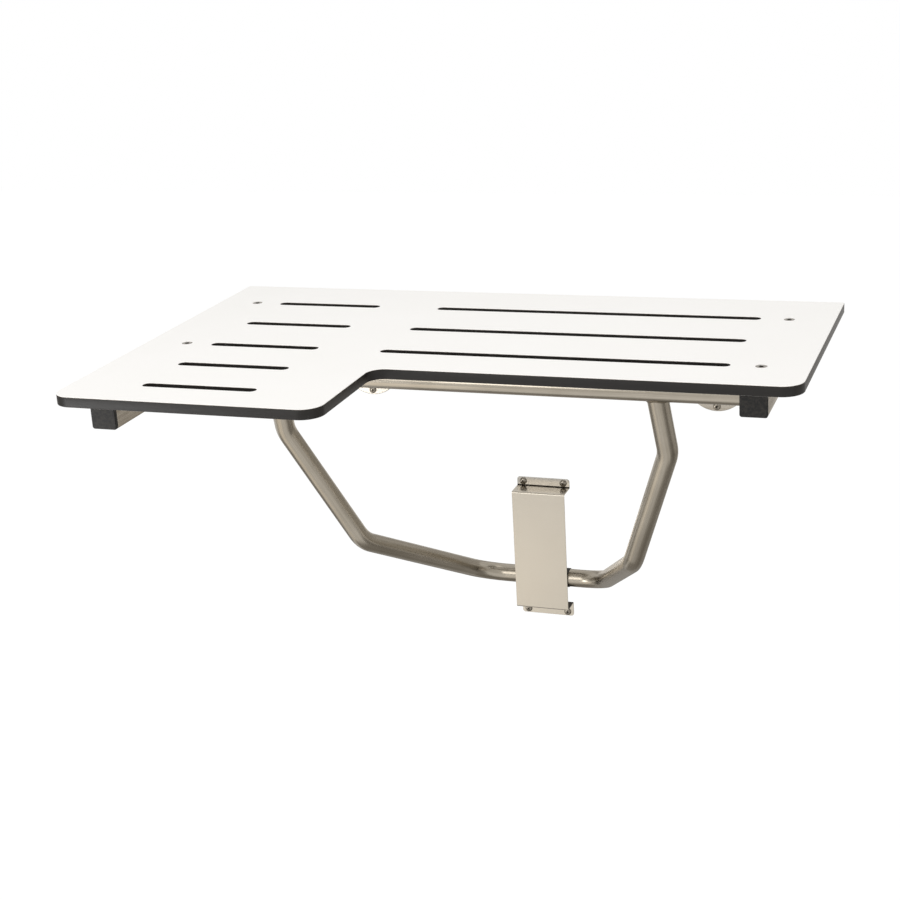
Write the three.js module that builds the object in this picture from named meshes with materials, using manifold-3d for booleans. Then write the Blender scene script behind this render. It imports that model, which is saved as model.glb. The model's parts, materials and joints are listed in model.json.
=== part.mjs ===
// Fold-down wall seat for a shower: an L-shaped slotted board on two square rails, hinged on two wall flanges
// and propped by a bent tube leg whose foot bar slides up and down in a wall guide as the seat is raised.
// Millimetres. X runs along the wall, Y into the wall, Z up. The origin is on the wall, midway between the
// flange centres. The group shows the seat lowered.
import * as THREE from "three";
import { mergeVertices } from "three/addons/utils/BufferGeometryUtils.js";
import Module from "manifold-3d";

const wasm = await Module();
wasm.setup();

// Gaps and cutters
const seatedGap = 0.3;
const runningGap = 0.4;
const cutOverrun = 2;
const tubeSides = 24;
const smallSides = 12;
const cornerSteps = 3;
const eyeSteps = 8;

// Board: an L seen from above, its wing on the left
const boardWidth = 838;
const boardThickness = 12.7;
const mainDepth = 372;
const wingDepth = 536.5;
const wingWidth = 337.5;
const frontCornerRadius = 25;
const insideCornerRadius = 20;
const rearCornerRadius = 3;
const wallToBoard = 30;
const boardTopHeight = 120.5;

// Drain slots in the board, set by the bare board beside, between, behind and before them
const slotWidth = 14;
const slotSideMargin = 91;
const slotInnerMargin = 100.5;
const slotGap = 83;
const slotRearMargin = 91.5;
const mainSlotFrontMargin = 73.5;
const wingSlotFrontMargin = 61;
const mainSlotRows = 3;
const wingSlotRows = 2;

// Square rails under the board, front to back, and their plastic end caps
const railSize = 31.75;
const railWall = 1.6;
const railCornerRadius = 3;
const railInset = 56;
const railFrontSetback = 22;
const railRearSetback = 12;
const capHeadThickness = 5;
const capPlugDepth = 16;
const capPlugWall = 2;

// Board screws and the nuts inside the rails
const boardScrewRadius = 3;
const boardScrewHeadRadius = 6.6;
const boardScrewHeadHeight = 3.8;
const boardScrewRecess = 0.3;
const boardScrewEnd = 2.5;
const socketRadius = 2.6;
const socketDepth = 2.6;
const socketSides = 6;
const nutRadius = 5.8;
const nutHeight = 5;

// Round tube stock of the hinge tube, the cross tube and the leg
const tubeRadius = 12.7;
const tubeWall = 1.5;

// Hinge tube under the rear of the rails, its end plugs and its collars
const hingeBehindEdge = 61.5;
const endPlugHead = 2.5;
const endPlugDepth = 12;
const collarWidth = 8;
const collarThickness = 4.5;

// Pivots of the cross tube in the rails
const crossTubeSetback = 64.4;
const pivotPinRadius = 6;
const pivotPinInRail = 14;
const pivotBushWall = 2;
const pivotBushBeyondWall = 2;
const pivotFlangeRadius = 11;
const pivotFlangeThickness = 1;
const tubeEndPlugDepth = 10;

// Leg: half widths at its four corners on each side, and their places from the cross tube
const legTopSpread = 243;
const legTopSetback = 3;
const legShoulderSpread = 249;
const legKneeSpread = 185;
const legFootSpread = 89;
const shoulderSetback = 35.5;
const shoulderDrop = 87.5;
const kneeSetback = 107.5;
const kneeDrop = 263.5;
const legBendRadius = 50;
const legBendSteps = 4;
const legSides = 16;
const legBoreSides = 10;

// Sleeve on the leg's foot bar
const sleeveThickness = 0.8;
const sleeveLength = 77;

// Guide: one sheet bent into a hat, which traps the foot bar against the wall
const guideWidth = 77;
const guideHeight = 178;
const guideSheet = 1.6;
const guideBendRadius = 2.4;
const guideTopTab = 12.5;
const guideBottomTab = 20.5;
const guideTopBelowFlanges = 168;
const guideTabCornerRadius = 4;
const guideScrewSpread = 29.5;
const guideScrewFromEdge = 6.2;
const guideScrewLength = 12;
const restBlockWidth = 40;
const restBlockHeight = 29.45;

// Wall flanges, 500 apart
const flangeSpread = 250;
const flangeRadius = 42;
const flangeThickness = 4.8;
const flangeScrewCircle = 35;
const flangeScrewCount = 3;

// Hooked arms from the flanges to the hinge tube
const armThickness = 8;
const armEyeWall = 6.5;
const armBushWall = 2.5;
const armBushProud = 1.5;
const armBoardClearance = 3.5;
const armRootTop = 8;
const armRootBottom = 28;
const armWaist = 14;
const armHeelRise = 10;
const armHeelWidth = 22;

// Wall screws
const wallScrewRadius = 2.4;
const wallScrewHeadRadius = 5.2;
const wallScrewHeadHeight = 2.6;
const flangeScrewLength = 34;
const wallScrewPoint = 5;
// The domed head, from its crown to its rim: shares of the head's radius and of its height
const domeRadiusShares = [0.55, 0.88];
const domeHeightShares = [0.92, 0.6];
const wallHoleClearance = 0.4;
const crossRecessWidth = 1.1;
const crossRecessSpan = 4.6;
const crossRecessDepth = 1.5;

// Places worked out from the sizes above
const boardLeft = -boardWidth / 2;
const boardRight = boardWidth / 2;
const boardUnderside = boardTopHeight - boardThickness;
const railTop = boardUnderside - seatedGap;
const railUnderside = railTop - railSize;
const railMiddle = railTop - railSize / 2;
const railSpread = boardWidth / 2 - railInset;
const hingeY = -(wallToBoard + hingeBehindEdge);
const hingeZ = railUnderside - seatedGap - tubeRadius;
const crossTubeY = -(wallToBoard + mainDepth - crossTubeSetback);
const crossTubeZ = railUnderside + tubeRadius;
const sleeveRadius = tubeRadius + seatedGap + sleeveThickness;
const guideTop = -guideTopBelowFlanges;
const guideBottom = guideTop - guideHeight;
const guideDepth = 2 * (sleeveRadius + runningGap) + guideSheet;
const restBlockTop = guideBottom + guideSheet + seatedGap + restBlockHeight;
const barY = -(sleeveRadius + runningGap);
const barZ = restBlockTop + seatedGap + sleeveRadius;

// Finishes
function finish(color, roughness, metalness) {
  return new THREE.MeshStandardMaterial({ color, roughness, metalness });
}
const finishes = {
  laminate: () => finish(0xf8f6f2, 0.45, 0),
  steel: () => finish(0xb4aa9b, 0.35, 1),
  screwSteel: () => finish(0xc2bbb0, 0.3, 1),
  blackPlastic: () => finish(0x262422, 0.55, 0),
  nylon: () => finish(0xd8d5cc, 0.5, 0),
};

// Solids: a closed geometry becomes a solid that can be joined and cut, and a solid becomes a geometry
function solidOf(geometry) {
  const bare = geometry.clone();
  bare.deleteAttribute("normal");
  bare.deleteAttribute("uv");
  const merged = mergeVertices(bare);
  return new wasm.Manifold(
    new wasm.Mesh({
      numProp: 3,
      vertProperties: new Float32Array(merged.attributes.position.array),
      triVerts: new Uint32Array(merged.index.array),
    }),
  );
}

function geometryOf(solid) {
  const mesh = solid.getMesh();
  const indexed = new THREE.BufferGeometry();
  indexed.setAttribute("position", new THREE.BufferAttribute(mesh.vertProperties, 3));
  indexed.setIndex(new THREE.BufferAttribute(mesh.triVerts, 1));
  const flat = indexed.toNonIndexed();
  flat.computeVertexNormals();
  return flat;
}

function cut(geometry, cutters) {
  return geometryOf(cutters.reduce((solid, cutter) => solid.subtract(solidOf(cutter)), solidOf(geometry)));
}

function join(geometries) {
  return geometryOf(geometries.map(solidOf).reduce((whole, solid) => whole.add(solid)));
}

// An extrusion is drawn in its own plane and then turned: up along Z, along X with the drawing in Y and Z, or
// along Y with the drawing in X and Z
const turns = {
  z: new THREE.Matrix4(),
  x: new THREE.Matrix4().makeBasis(
    new THREE.Vector3(0, 1, 0),
    new THREE.Vector3(0, 0, 1),
    new THREE.Vector3(1, 0, 0),
  ),
  y: new THREE.Matrix4().makeRotationX(Math.PI / 2),
};

function extruded(shape, length, axis, curveSegments = cornerSteps) {
  const geometry = new THREE.ExtrudeGeometry(shape, { depth: length, bevelEnabled: false, curveSegments });
  geometry.translate(0, 0, -length / 2);
  return geometry.applyMatrix4(turns[axis]);
}

function polygonPoints(radius, sides) {
  const points = [];
  for (let i = 0; i < sides; i += 1) {
    const angle = (2 * Math.PI * (i + 0.5)) / sides;
    points.push(new THREE.Vector2(radius * Math.cos(angle), radius * Math.sin(angle)));
  }
  return points;
}

function disc(radius, sides = tubeSides) {
  return new THREE.Shape(polygonPoints(radius, sides));
}

function ring(outerRadius, innerRadius, sides = tubeSides) {
  const shape = disc(outerRadius, sides);
  shape.holes.push(new THREE.Path(polygonPoints(innerRadius, sides)));
  return shape;
}

function roundedRectangle(PathType, width, height, radius) {
  const path = new PathType();
  const x = width / 2 - radius;
  const y = height / 2 - radius;
  path.absarc(x, y, radius, 0, Math.PI / 2, false);
  path.absarc(-x, y, radius, Math.PI / 2, Math.PI, false);
  path.absarc(-x, -y, radius, Math.PI, 1.5 * Math.PI, false);
  path.absarc(x, -y, radius, 1.5 * Math.PI, 2 * Math.PI, false);
  path.closePath();
  return path;
}

// A turned piece: its profile gives radius and height along the axis, from the low end to the high end
function turned(profile, axis, sides = smallSides) {
  const points = profile.map(([radius, height]) => new THREE.Vector2(radius, height));
  const geometry = new THREE.LatheGeometry(points, sides);
  return axis === "z" ? geometry.rotateX(Math.PI / 2) : geometry;
}

// Groups that move together, and pieces placed in them by where they are on the whole seat
const seat = new THREE.Group();
function movingGroup(x, y, z) {
  const group = new THREE.Group();
  group.position.set(x, y, z);
  seat.add(group);
  return group;
}
const wallMount = movingGroup(0, 0, 0);
const seatBody = movingGroup(0, hingeY, hingeZ);
const glideBody = movingGroup(0, barY, barZ);
const legBody = movingGroup(0, barY, barZ);

function piece(group, name, geometry, material, x, y, z) {
  const mesh = new THREE.Mesh(geometry, material);
  mesh.name = name;
  mesh.position.set(x, y, z).sub(group.position);
  group.add(mesh);
}

const sides = [
  { name: "left", way: -1, frontDepth: wingDepth },
  { name: "right", way: 1, frontDepth: mainDepth },
];

// An outline through its corners, given as place and radius
function roundedOutline(corners) {
  const shape = new THREE.Shape();
  corners.forEach(([x, y, radius], i) => {
    const before = corners[(i + corners.length - 1) % corners.length];
    const after = corners[(i + 1) % corners.length];
    const corner = new THREE.Vector2(x, y);
    if (radius === 0) {
      if (i === 0) shape.moveTo(x, y);
      else shape.lineTo(x, y);
      return;
    }
    const inward = new THREE.Vector2(before[0], before[1]).sub(corner).normalize();
    const outward = new THREE.Vector2(after[0], after[1]).sub(corner).normalize();
    const centre = corner.clone().addScaledVector(inward, radius).addScaledVector(outward, radius);
    const start = Math.atan2(-outward.y, -outward.x);
    const end = Math.atan2(-inward.y, -inward.x);
    const turnsRight = inward.cross(outward) > 0;
    shape.absarc(centre.x, centre.y, radius, start, end, turnsRight);
  });
  shape.closePath();
  return shape;
}

function slotPath(startX, length, y) {
  const half = slotWidth / 2;
  const path = new THREE.Path();
  path.absarc(startX + length - half, y, half, -Math.PI / 2, Math.PI / 2, false);
  path.absarc(startX + half, y, half, Math.PI / 2, 1.5 * Math.PI, false);
  path.closePath();
  return path;
}

const lastMainRow = -(mainDepth - mainSlotFrontMargin);
const mainSlotPitch = (-lastMainRow - slotRearMargin) / (mainSlotRows - 1);
const wingSlotPitch = (wingDepth - wingSlotFrontMargin + lastMainRow) / wingSlotRows;
const wingSlotLength = wingWidth - slotSideMargin - slotInnerMargin;
const mainSlotLength = boardWidth - 2 * slotSideMargin - wingSlotLength - slotGap;
const slotRows = [];
for (let i = 0; i < mainSlotRows; i += 1) slotRows.push(-(slotRearMargin + i * mainSlotPitch));
for (let i = 1; i <= wingSlotRows; i += 1) slotRows.push(lastMainRow - i * wingSlotPitch);

const boardScrewPlaces = sides.flatMap(({ name, way }) => [
  { name: `${name}_rear`, x: way * railSpread, y: -wallToBoard + slotRows[0] },
  { name: `${name}_front`, x: way * railSpread, y: -wallToBoard + lastMainRow },
]);

// Board seen from above: its rear edge at y 0, its front towards -y
function makeBoard() {
  const wingEdge = boardLeft + wingWidth;
  const outline = roundedOutline([
    [boardLeft, 0, rearCornerRadius],
    [boardLeft, -wingDepth, frontCornerRadius],
    [wingEdge, -wingDepth, frontCornerRadius],
    [wingEdge, -mainDepth, insideCornerRadius],
    [boardRight, -mainDepth, frontCornerRadius],
    [boardRight, 0, rearCornerRadius],
  ]);
  slotRows.forEach((y, row) => {
    outline.holes.push(slotPath(boardLeft + slotSideMargin, wingSlotLength, y));
    if (row < mainSlotRows) {
      outline.holes.push(slotPath(boardRight - slotSideMargin - mainSlotLength, mainSlotLength, y));
    }
  });
  const blank = extruded(outline, boardThickness, "z");
  const countersinkRadius = boardScrewHeadRadius + seatedGap;
  const screwHoleRadius = boardScrewRadius + seatedGap;
  const top = boardThickness / 2;
  const cutters = boardScrewPlaces.map(({ x, y }) =>
    turned(
      [
        [0, -top - cutOverrun],
        [screwHoleRadius, -top - cutOverrun],
        [screwHoleRadius, top - boardScrewRecess - boardScrewHeadHeight],
        [countersinkRadius, top - boardScrewRecess],
        [countersinkRadius, top + cutOverrun],
        [0, top + cutOverrun],
      ],
      "z",
    ).translate(x, y + wallToBoard, 0),
  );
  const middle = boardUnderside + boardThickness / 2;
  piece(seatBody, "seat_board", cut(blank, cutters), finishes.laminate(), 0, -wallToBoard, middle);
}

// Screws through the board, and a nut for each inside the rail
function makeBoardScrews() {
  const headTop = boardTopHeight - boardScrewRecess;
  const nutTop = railTop - railWall - seatedGap;
  const length = headTop - nutTop + nutHeight + boardScrewEnd;
  for (const { name, x, y } of boardScrewPlaces) {
    const screw = turned(
      [
        [0, -length],
        [boardScrewRadius, -length],
        [boardScrewRadius, -boardScrewHeadHeight],
        [boardScrewHeadRadius, 0],
        [0, 0],
      ],
      "z",
    );
    const socket = extruded(disc(socketRadius, socketSides), 2 * socketDepth, "z");
    piece(seatBody, `${name}_board_screw`, cut(screw, [socket]), finishes.screwSteel(), x, y, headTop);
    const nut = disc(nutRadius, socketSides);
    nut.holes.push(new THREE.Path(polygonPoints(boardScrewRadius + seatedGap, smallSides)));
    const nutMiddle = nutTop - nutHeight / 2;
    const nutSolid = extruded(nut, nutHeight, "z");
    piece(seatBody, `${name}_rail_nut`, nutSolid, finishes.screwSteel(), x, y, nutMiddle);
  }
}

// A square rail with its screw holes and the hole for the pivot bush, and its two end caps
function makeRail({ name, way, frontDepth }) {
  const frontY = -wallToBoard - frontDepth + railFrontSetback + capHeadThickness + seatedGap;
  const rearY = -wallToBoard - railRearSetback - capHeadThickness - seatedGap;
  const middleY = (frontY + rearY) / 2;
  const x = way * railSpread;
  const bore = railSize - 2 * railWall;
  const section = roundedRectangle(THREE.Shape, railSize, railSize, railCornerRadius);
  section.holes.push(roundedRectangle(THREE.Path, bore, bore, railCornerRadius - railWall));
  const tube = extruded(section, rearY - frontY, "y");
  const cutters = boardScrewPlaces
    .filter((place) => place.x === x)
    .map((place) =>
      extruded(disc(boardScrewRadius + seatedGap, smallSides), railSize, "z").translate(
        0,
        place.y - middleY,
        railSize / 2,
      ),
    );
  const bushHole = pivotPinRadius + pivotBushWall + 2 * seatedGap;
  cutters.push(
    extruded(disc(bushHole, smallSides), railSize, "x").translate(
      -way * (railSize / 2),
      crossTubeY - middleY,
      crossTubeZ - railMiddle,
    ),
  );
  piece(seatBody, `${name}_rail`, cut(tube, cutters), finishes.steel(), x, middleY, railMiddle);

  const plugOuter = bore - 2 * seatedGap;
  const plugSection = roundedRectangle(THREE.Shape, plugOuter, plugOuter, railCornerRadius - railWall);
  const plugInner = plugOuter - 2 * capPlugWall;
  plugSection.holes.push(roundedRectangle(THREE.Path, plugInner, plugInner, railCornerRadius - railWall));
  const head = roundedRectangle(THREE.Shape, railSize, railSize, railCornerRadius);
  const ends = [
    { end: "front", y: frontY - seatedGap - capHeadThickness / 2, inward: 1 },
    { end: "rear", y: rearY + seatedGap + capHeadThickness / 2, inward: -1 },
  ];
  for (const { end, y, inward } of ends) {
    const plug = extruded(plugSection, capPlugDepth, "y");
    plug.translate(0, inward * (capPlugDepth / 2), 0);
    const cap = join([extruded(head, capHeadThickness, "y"), plug]);
    piece(seatBody, `${name}_${end}_cap`, cap, finishes.blackPlastic(), x, y, railMiddle);
  }
}

// A tube end plug: a head as wide as the tube and a spigot inside it, along X, its head outward
function tubePlug(head, depth, way, boreThrough) {
  const spigotRadius = tubeRadius - tubeWall - seatedGap;
  const body = [extruded(disc(spigotRadius, tubeSides), depth, "x").translate(-way * (depth / 2), 0, 0)];
  if (head > 0) body.push(extruded(disc(tubeRadius, tubeSides), head, "x"));
  const whole = join(body);
  if (boreThrough === 0) return whole;
  return cut(whole, [extruded(disc(boreThrough, smallSides), 2 * (depth + cutOverrun), "x")]);
}

function makeHingeTube() {
  const half = railSpread + railSize / 2 - endPlugHead - seatedGap;
  const tube = extruded(ring(tubeRadius, tubeRadius - tubeWall), 2 * half, "x");
  piece(seatBody, "hinge_tube", tube, finishes.steel(), 0, hingeY, hingeZ);
  for (const { name, way } of sides) {
    const plug = tubePlug(endPlugHead, endPlugDepth, way, 0);
    const plugX = way * (half + seatedGap + endPlugHead / 2);
    piece(seatBody, `${name}_hinge_plug`, plug, finishes.blackPlastic(), plugX, hingeY, hingeZ);
    const collar = extruded(
      ring(tubeRadius + seatedGap + collarThickness, tubeRadius + seatedGap),
      collarWidth,
      "x",
    );
    const armSide = flangeSpread + armThickness / 2 + armBushProud;
    const collarX = way * (armSide + runningGap + collarWidth / 2);
    piece(seatBody, `${name}_hinge_collar`, collar, finishes.steel(), collarX, hingeY, hingeZ);
  }
}

// Flanged bush and pin in each rail, where the cross tube turns. The pin ends at the bush's face
function makePivot({ name, way }) {
  const innerFace = way * (railSpread - railSize / 2);
  const bushBore = pivotPinRadius + seatedGap;
  const barrelRadius = bushBore + pivotBushWall;
  const barrelLength = railWall + pivotBushBeyondWall;
  const flangeMiddle = -way * (seatedGap + pivotFlangeThickness / 2);
  const barrelMiddle = way * (barrelLength / 2 - seatedGap - pivotFlangeThickness / 2);
  const bush = join([
    extruded(ring(pivotFlangeRadius, bushBore), pivotFlangeThickness, "x").translate(flangeMiddle, 0, 0),
    extruded(ring(barrelRadius, bushBore), barrelLength, "x").translate(barrelMiddle, 0, 0),
  ]);
  piece(seatBody, `${name}_pivot_bush`, bush, finishes.nylon(), innerFace, crossTubeY, crossTubeZ);
  const pinStart = seatedGap + pivotFlangeThickness;
  const pinLength = pinStart + pivotPinInRail;
  const pin = extruded(disc(pivotPinRadius, smallSides), pinLength, "x");
  const pinX = innerFace + way * (pinLength / 2 - pinStart);
  piece(seatBody, `${name}_pivot_pin`, pin, finishes.screwSteel(), pinX, crossTubeY, crossTubeZ);
}

// Cross tube between the rails, with a bored steel plug in each end for the pivot pin
function makeCrossTube() {
  const reach = railSpread - railSize / 2 - seatedGap - pivotFlangeThickness - runningGap;
  const tube = extruded(ring(tubeRadius, tubeRadius - tubeWall), 2 * reach, "x");
  piece(legBody, "cross_tube", tube, finishes.steel(), 0, crossTubeY, crossTubeZ);
  for (const { name, way } of sides) {
    const plug = tubePlug(0, tubeEndPlugDepth, way, pivotPinRadius + seatedGap);
    const plugX = way * reach;
    piece(legBody, `${name}_cross_tube_plug`, plug, finishes.steel(), plugX, crossTubeY, crossTubeZ);
  }
}

// A path of straight runs joined by arcs. Its stations are the ends of the runs and the points along each arc,
// and equal steps of the parameter go from one station to the next
class BentPath extends THREE.Curve {
  constructor(corners, bendRadius, bendSteps) {
    super();
    this.stations = [corners[0]];
    for (let i = 1; i < corners.length - 1; i += 1) {
      const corner = corners[i];
      const back = corners[i - 1].clone().sub(corner).normalize();
      const ahead = corners[i + 1].clone().sub(corner).normalize();
      const halfOpening = back.angleTo(ahead) / 2;
      const tangentLength = bendRadius / Math.tan(halfOpening);
      const middle = back.clone().add(ahead).normalize();
      const centre = corner.clone().addScaledVector(middle, bendRadius / Math.sin(halfOpening));
      const first = corner.clone().addScaledVector(back, tangentLength).sub(centre);
      const normal = back.clone().cross(ahead).normalize().negate();
      const sweep = Math.PI - 2 * halfOpening;
      for (let step = 0; step <= bendSteps; step += 1) {
        const arm = first.clone().applyAxisAngle(normal, (sweep * step) / bendSteps);
        this.stations.push(centre.clone().add(arm));
      }
    }
    this.stations.push(corners[corners.length - 1]);
  }

  getPoint(t, target = new THREE.Vector3()) {
    const last = this.stations.length - 1;
    const along = Math.min(Math.max(t, 0), 1) * last;
    const index = Math.min(Math.floor(along), last - 1);
    return target.lerpVectors(this.stations[index], this.stations[index + 1], along - index);
  }

  getPointAt(u, target) {
    return this.getPoint(u, target);
  }

  getTangentAt(u, target) {
    return this.getTangent(u, target);
  }
}

// Leg: one tube from the cross tube down and back to the foot bar, and up again on the other side
function makeLeg() {
  const spreads = [legTopSpread, legShoulderSpread, legKneeSpread, legFootSpread];
  const setbacks = [legTopSetback, shoulderSetback, kneeSetback, barY - crossTubeY];
  const drops = [0, shoulderDrop, kneeDrop, crossTubeZ - barZ];
  const half = spreads.map((x, i) => new THREE.Vector3(x, setbacks[i], -drops[i]));
  const mirrored = half.map((p) => new THREE.Vector3(-p.x, p.y, p.z)).reverse();
  const path = new BentPath([...half, ...mirrored], legBendRadius, legBendSteps);
  const sweep = (radius, sideCount) =>
    new THREE.ExtrudeGeometry(disc(radius, sideCount), {
      steps: path.stations.length - 1,
      bevelEnabled: false,
      extrudePath: path,
    });
  const copeRadius = (tubeRadius + seatedGap) / Math.cos(Math.PI / tubeSides);
  const cope = extruded(disc(copeRadius, tubeSides), 2 * (legTopSpread + tubeRadius + cutOverrun), "x");
  const leg = cut(sweep(tubeRadius, legSides), [sweep(tubeRadius - tubeWall, legBoreSides), cope]);
  piece(legBody, "leg_tube", leg, finishes.steel(), 0, crossTubeY, crossTubeZ);
}

function makeSleeve() {
  const sleeve = extruded(ring(sleeveRadius, tubeRadius + seatedGap), sleeveLength, "x");
  piece(glideBody, "foot_sleeve", sleeve, finishes.blackPlastic(), 0, barY, barZ);
}

// Wall screw along Y, its head towards the room, with a cross recess
function wallScrew(length) {
  const profile = [
    [0, -wallScrewHeadHeight],
    ...domeRadiusShares.map((share, i) => [
      wallScrewHeadRadius * share,
      -wallScrewHeadHeight * domeHeightShares[i],
    ]),
    [wallScrewHeadRadius, 0],
    [wallScrewRadius, 0],
    [wallScrewRadius, length - wallScrewPoint],
    [0, length],
  ];
  const recess = [
    new THREE.BoxGeometry(crossRecessSpan, 2 * crossRecessDepth, crossRecessWidth),
    new THREE.BoxGeometry(crossRecessWidth, 2 * crossRecessDepth, crossRecessSpan),
  ].map((box) => box.translate(0, -wallScrewHeadHeight, 0));
  return cut(turned(profile, "y", smallSides), recess);
}

// Flange, hooked arm and eye bush on each side of the wall
function makeHinge({ name, way }) {
  const x = way * flangeSpread;
  const holeRadius = wallScrewRadius + wallHoleClearance;
  const plate = disc(flangeRadius, 2 * tubeSides);
  const screwPlaces = [];
  for (let i = 0; i < flangeScrewCount; i += 1) {
    const angle = -Math.PI / 2 + (2 * Math.PI * i) / flangeScrewCount;
    const place = new THREE.Vector2(
      flangeScrewCircle * Math.cos(angle),
      flangeScrewCircle * Math.sin(angle),
    );
    screwPlaces.push(place);
    plate.holes.push(new THREE.Path(polygonPoints(holeRadius, smallSides).map((p) => p.add(place))));
  }
  const flange = extruded(plate, flangeThickness, "y");
  piece(wallMount, `${name}_wall_flange`, flange, finishes.steel(), x, -flangeThickness / 2, 0);
  const headSeat = -flangeThickness - seatedGap;
  screwPlaces.forEach((place, i) => {
    const screwName = `${name}_flange_screw_${i + 1}`;
    const screw = wallScrew(flangeScrewLength);
    piece(wallMount, screwName, screw, finishes.screwSteel(), x + place.x, headSeat, place.y);
  });

  const bushBore = tubeRadius + runningGap;
  const bushRadius = bushBore + armBushWall;
  const eyeBore = bushRadius + seatedGap;
  const eyeRadius = eyeBore + armEyeWall;
  const root = -(flangeThickness + seatedGap);
  const boardWhenRaised = hingeY + (boardUnderside - hingeZ);
  const edgeWhenRaised = hingeZ - hingeBehindEdge;
  const webBack = boardWhenRaised - armBoardClearance;
  const shelfTop = edgeWhenRaised - armBoardClearance;
  const shelfFront = -wallToBoard;
  const shelfBottom = shelfTop - armWaist;
  const eye = new THREE.Vector2(hingeY, hingeZ);
  const touch = (from, side) => {
    const away = from.clone().sub(eye);
    return Math.atan2(away.y, away.x) + side * Math.acos(eyeRadius / away.length());
  };
  const backFoot = new THREE.Vector2(webBack, shelfTop + armHeelRise);
  const frontFoot = new THREE.Vector2(webBack - armHeelWidth, shelfBottom + armHeelRise);
  const arm = new THREE.Shape();
  arm.moveTo(root, armRootTop);
  arm.lineTo(shelfFront, shelfTop);
  arm.lineTo(webBack, shelfTop);
  arm.lineTo(backFoot.x, backFoot.y);
  arm.absarc(eye.x, eye.y, eyeRadius, touch(backFoot, 1), touch(frontFoot, -1), false);
  arm.lineTo(frontFoot.x, frontFoot.y);
  arm.lineTo(webBack, shelfBottom);
  arm.lineTo(root, -armRootBottom);
  arm.closePath();
  const bore = polygonPoints(eyeBore, tubeSides).map((p) => p.add(eye));
  arm.holes.push(new THREE.Path(bore));
  const armSolid = extruded(arm, armThickness, "x", eyeSteps);
  piece(wallMount, `${name}_hinge_arm`, armSolid, finishes.steel(), x, 0, 0);
  const bush = extruded(ring(bushRadius, bushBore), armThickness + 2 * armBushProud, "x");
  piece(wallMount, `${name}_hinge_bush`, bush, finishes.nylon(), x, hingeY, hingeZ);
}

// Guide bracket: its side profile, then its tabs' corners rounded and its screw holes cut
function makeGuide() {
  const front = -guideDepth;
  const tabTop = guideTop + guideTopTab;
  const tabBottom = guideBottom - guideBottomTab;
  const outer = guideBendRadius;
  const inner = guideBendRadius - guideSheet;
  const profile = roundedOutline([
    [-guideSheet, tabTop, 0],
    [-guideSheet, guideTop, inner],
    [front, guideTop, outer],
    [front, guideBottom, outer],
    [-guideSheet, guideBottom, inner],
    [-guideSheet, tabBottom, 0],
    [0, tabBottom, 0],
    [0, guideBottom + guideSheet, outer],
    [front + guideSheet, guideBottom + guideSheet, inner],
    [front + guideSheet, guideTop - guideSheet, inner],
    [0, guideTop - guideSheet, outer],
    [0, tabTop, 0],
  ]);
  const sheet = extruded(profile, guideWidth, "x");
  const outline = roundedRectangle(THREE.Shape, guideWidth, tabTop - tabBottom, guideTabCornerRadius);
  const trimmer = extruded(outline, 2 * (guideDepth + cutOverrun), "y");
  trimmer.translate(0, 0, (tabTop + tabBottom) / 2);
  const trimmed = geometryOf(solidOf(sheet).intersect(solidOf(trimmer)));
  const holeRadius = wallScrewRadius + wallHoleClearance;
  const rows = [
    { row: "top", z: tabTop - guideScrewFromEdge },
    { row: "bottom", z: tabBottom + guideScrewFromEdge },
  ];
  const places = rows.flatMap(({ row, z }) =>
    sides.map(({ name, way }) => ({ label: `${row}_${name}`, x: way * guideScrewSpread, z })),
  );
  const cutters = places.map(({ x, z }) =>
    extruded(disc(holeRadius, smallSides), 2 * (guideSheet + cutOverrun), "y").translate(x, 0, z),
  );
  piece(wallMount, "guide_bracket", cut(trimmed, cutters), finishes.steel(), 0, 0, 0);
  const headSeat = -guideSheet - seatedGap;
  for (const { label, x, z } of places) {
    const screw = wallScrew(guideScrewLength);
    piece(wallMount, `guide_${label}_screw`, screw, finishes.screwSteel(), x, headSeat, z);
  }

  const blockDepth = guideDepth - guideSheet - 2 * seatedGap;
  const block = new THREE.BoxGeometry(restBlockWidth, blockDepth, restBlockHeight);
  const blockY = -(blockDepth / 2 + seatedGap);
  const blockZ = restBlockTop - restBlockHeight / 2;
  piece(wallMount, "bar_rest_block", block, finishes.blackPlastic(), 0, blockY, blockZ);
}

makeBoard();
makeBoardScrews();
sides.forEach(makeRail);
makeHingeTube();
sides.forEach(makePivot);
makeCrossTube();
makeLeg();
makeSleeve();
sides.forEach(makeHinge);
makeGuide();

export default seat;
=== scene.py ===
# %% [markdown]
# # A fold-down wall seat for a shower
#
# The object is an L-shaped slotted board on two square rails. The rails hang on a hinge tube at the wall,
# and a bent tube leg props them, with its foot bar caught in a sheet guide that is screwed to the wall.
# The measured solids of all these pieces are loaded first. They are right in size and place, but their
# round shapes have flat sides. So each piece that shows is made again here, with round shapes, softened
# edges and a real finish, at the place that the measured solid gives.

# %% Load the measured solids
import json
import math

import bmesh
import bpy
from mathutils import Matrix, Vector

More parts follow.
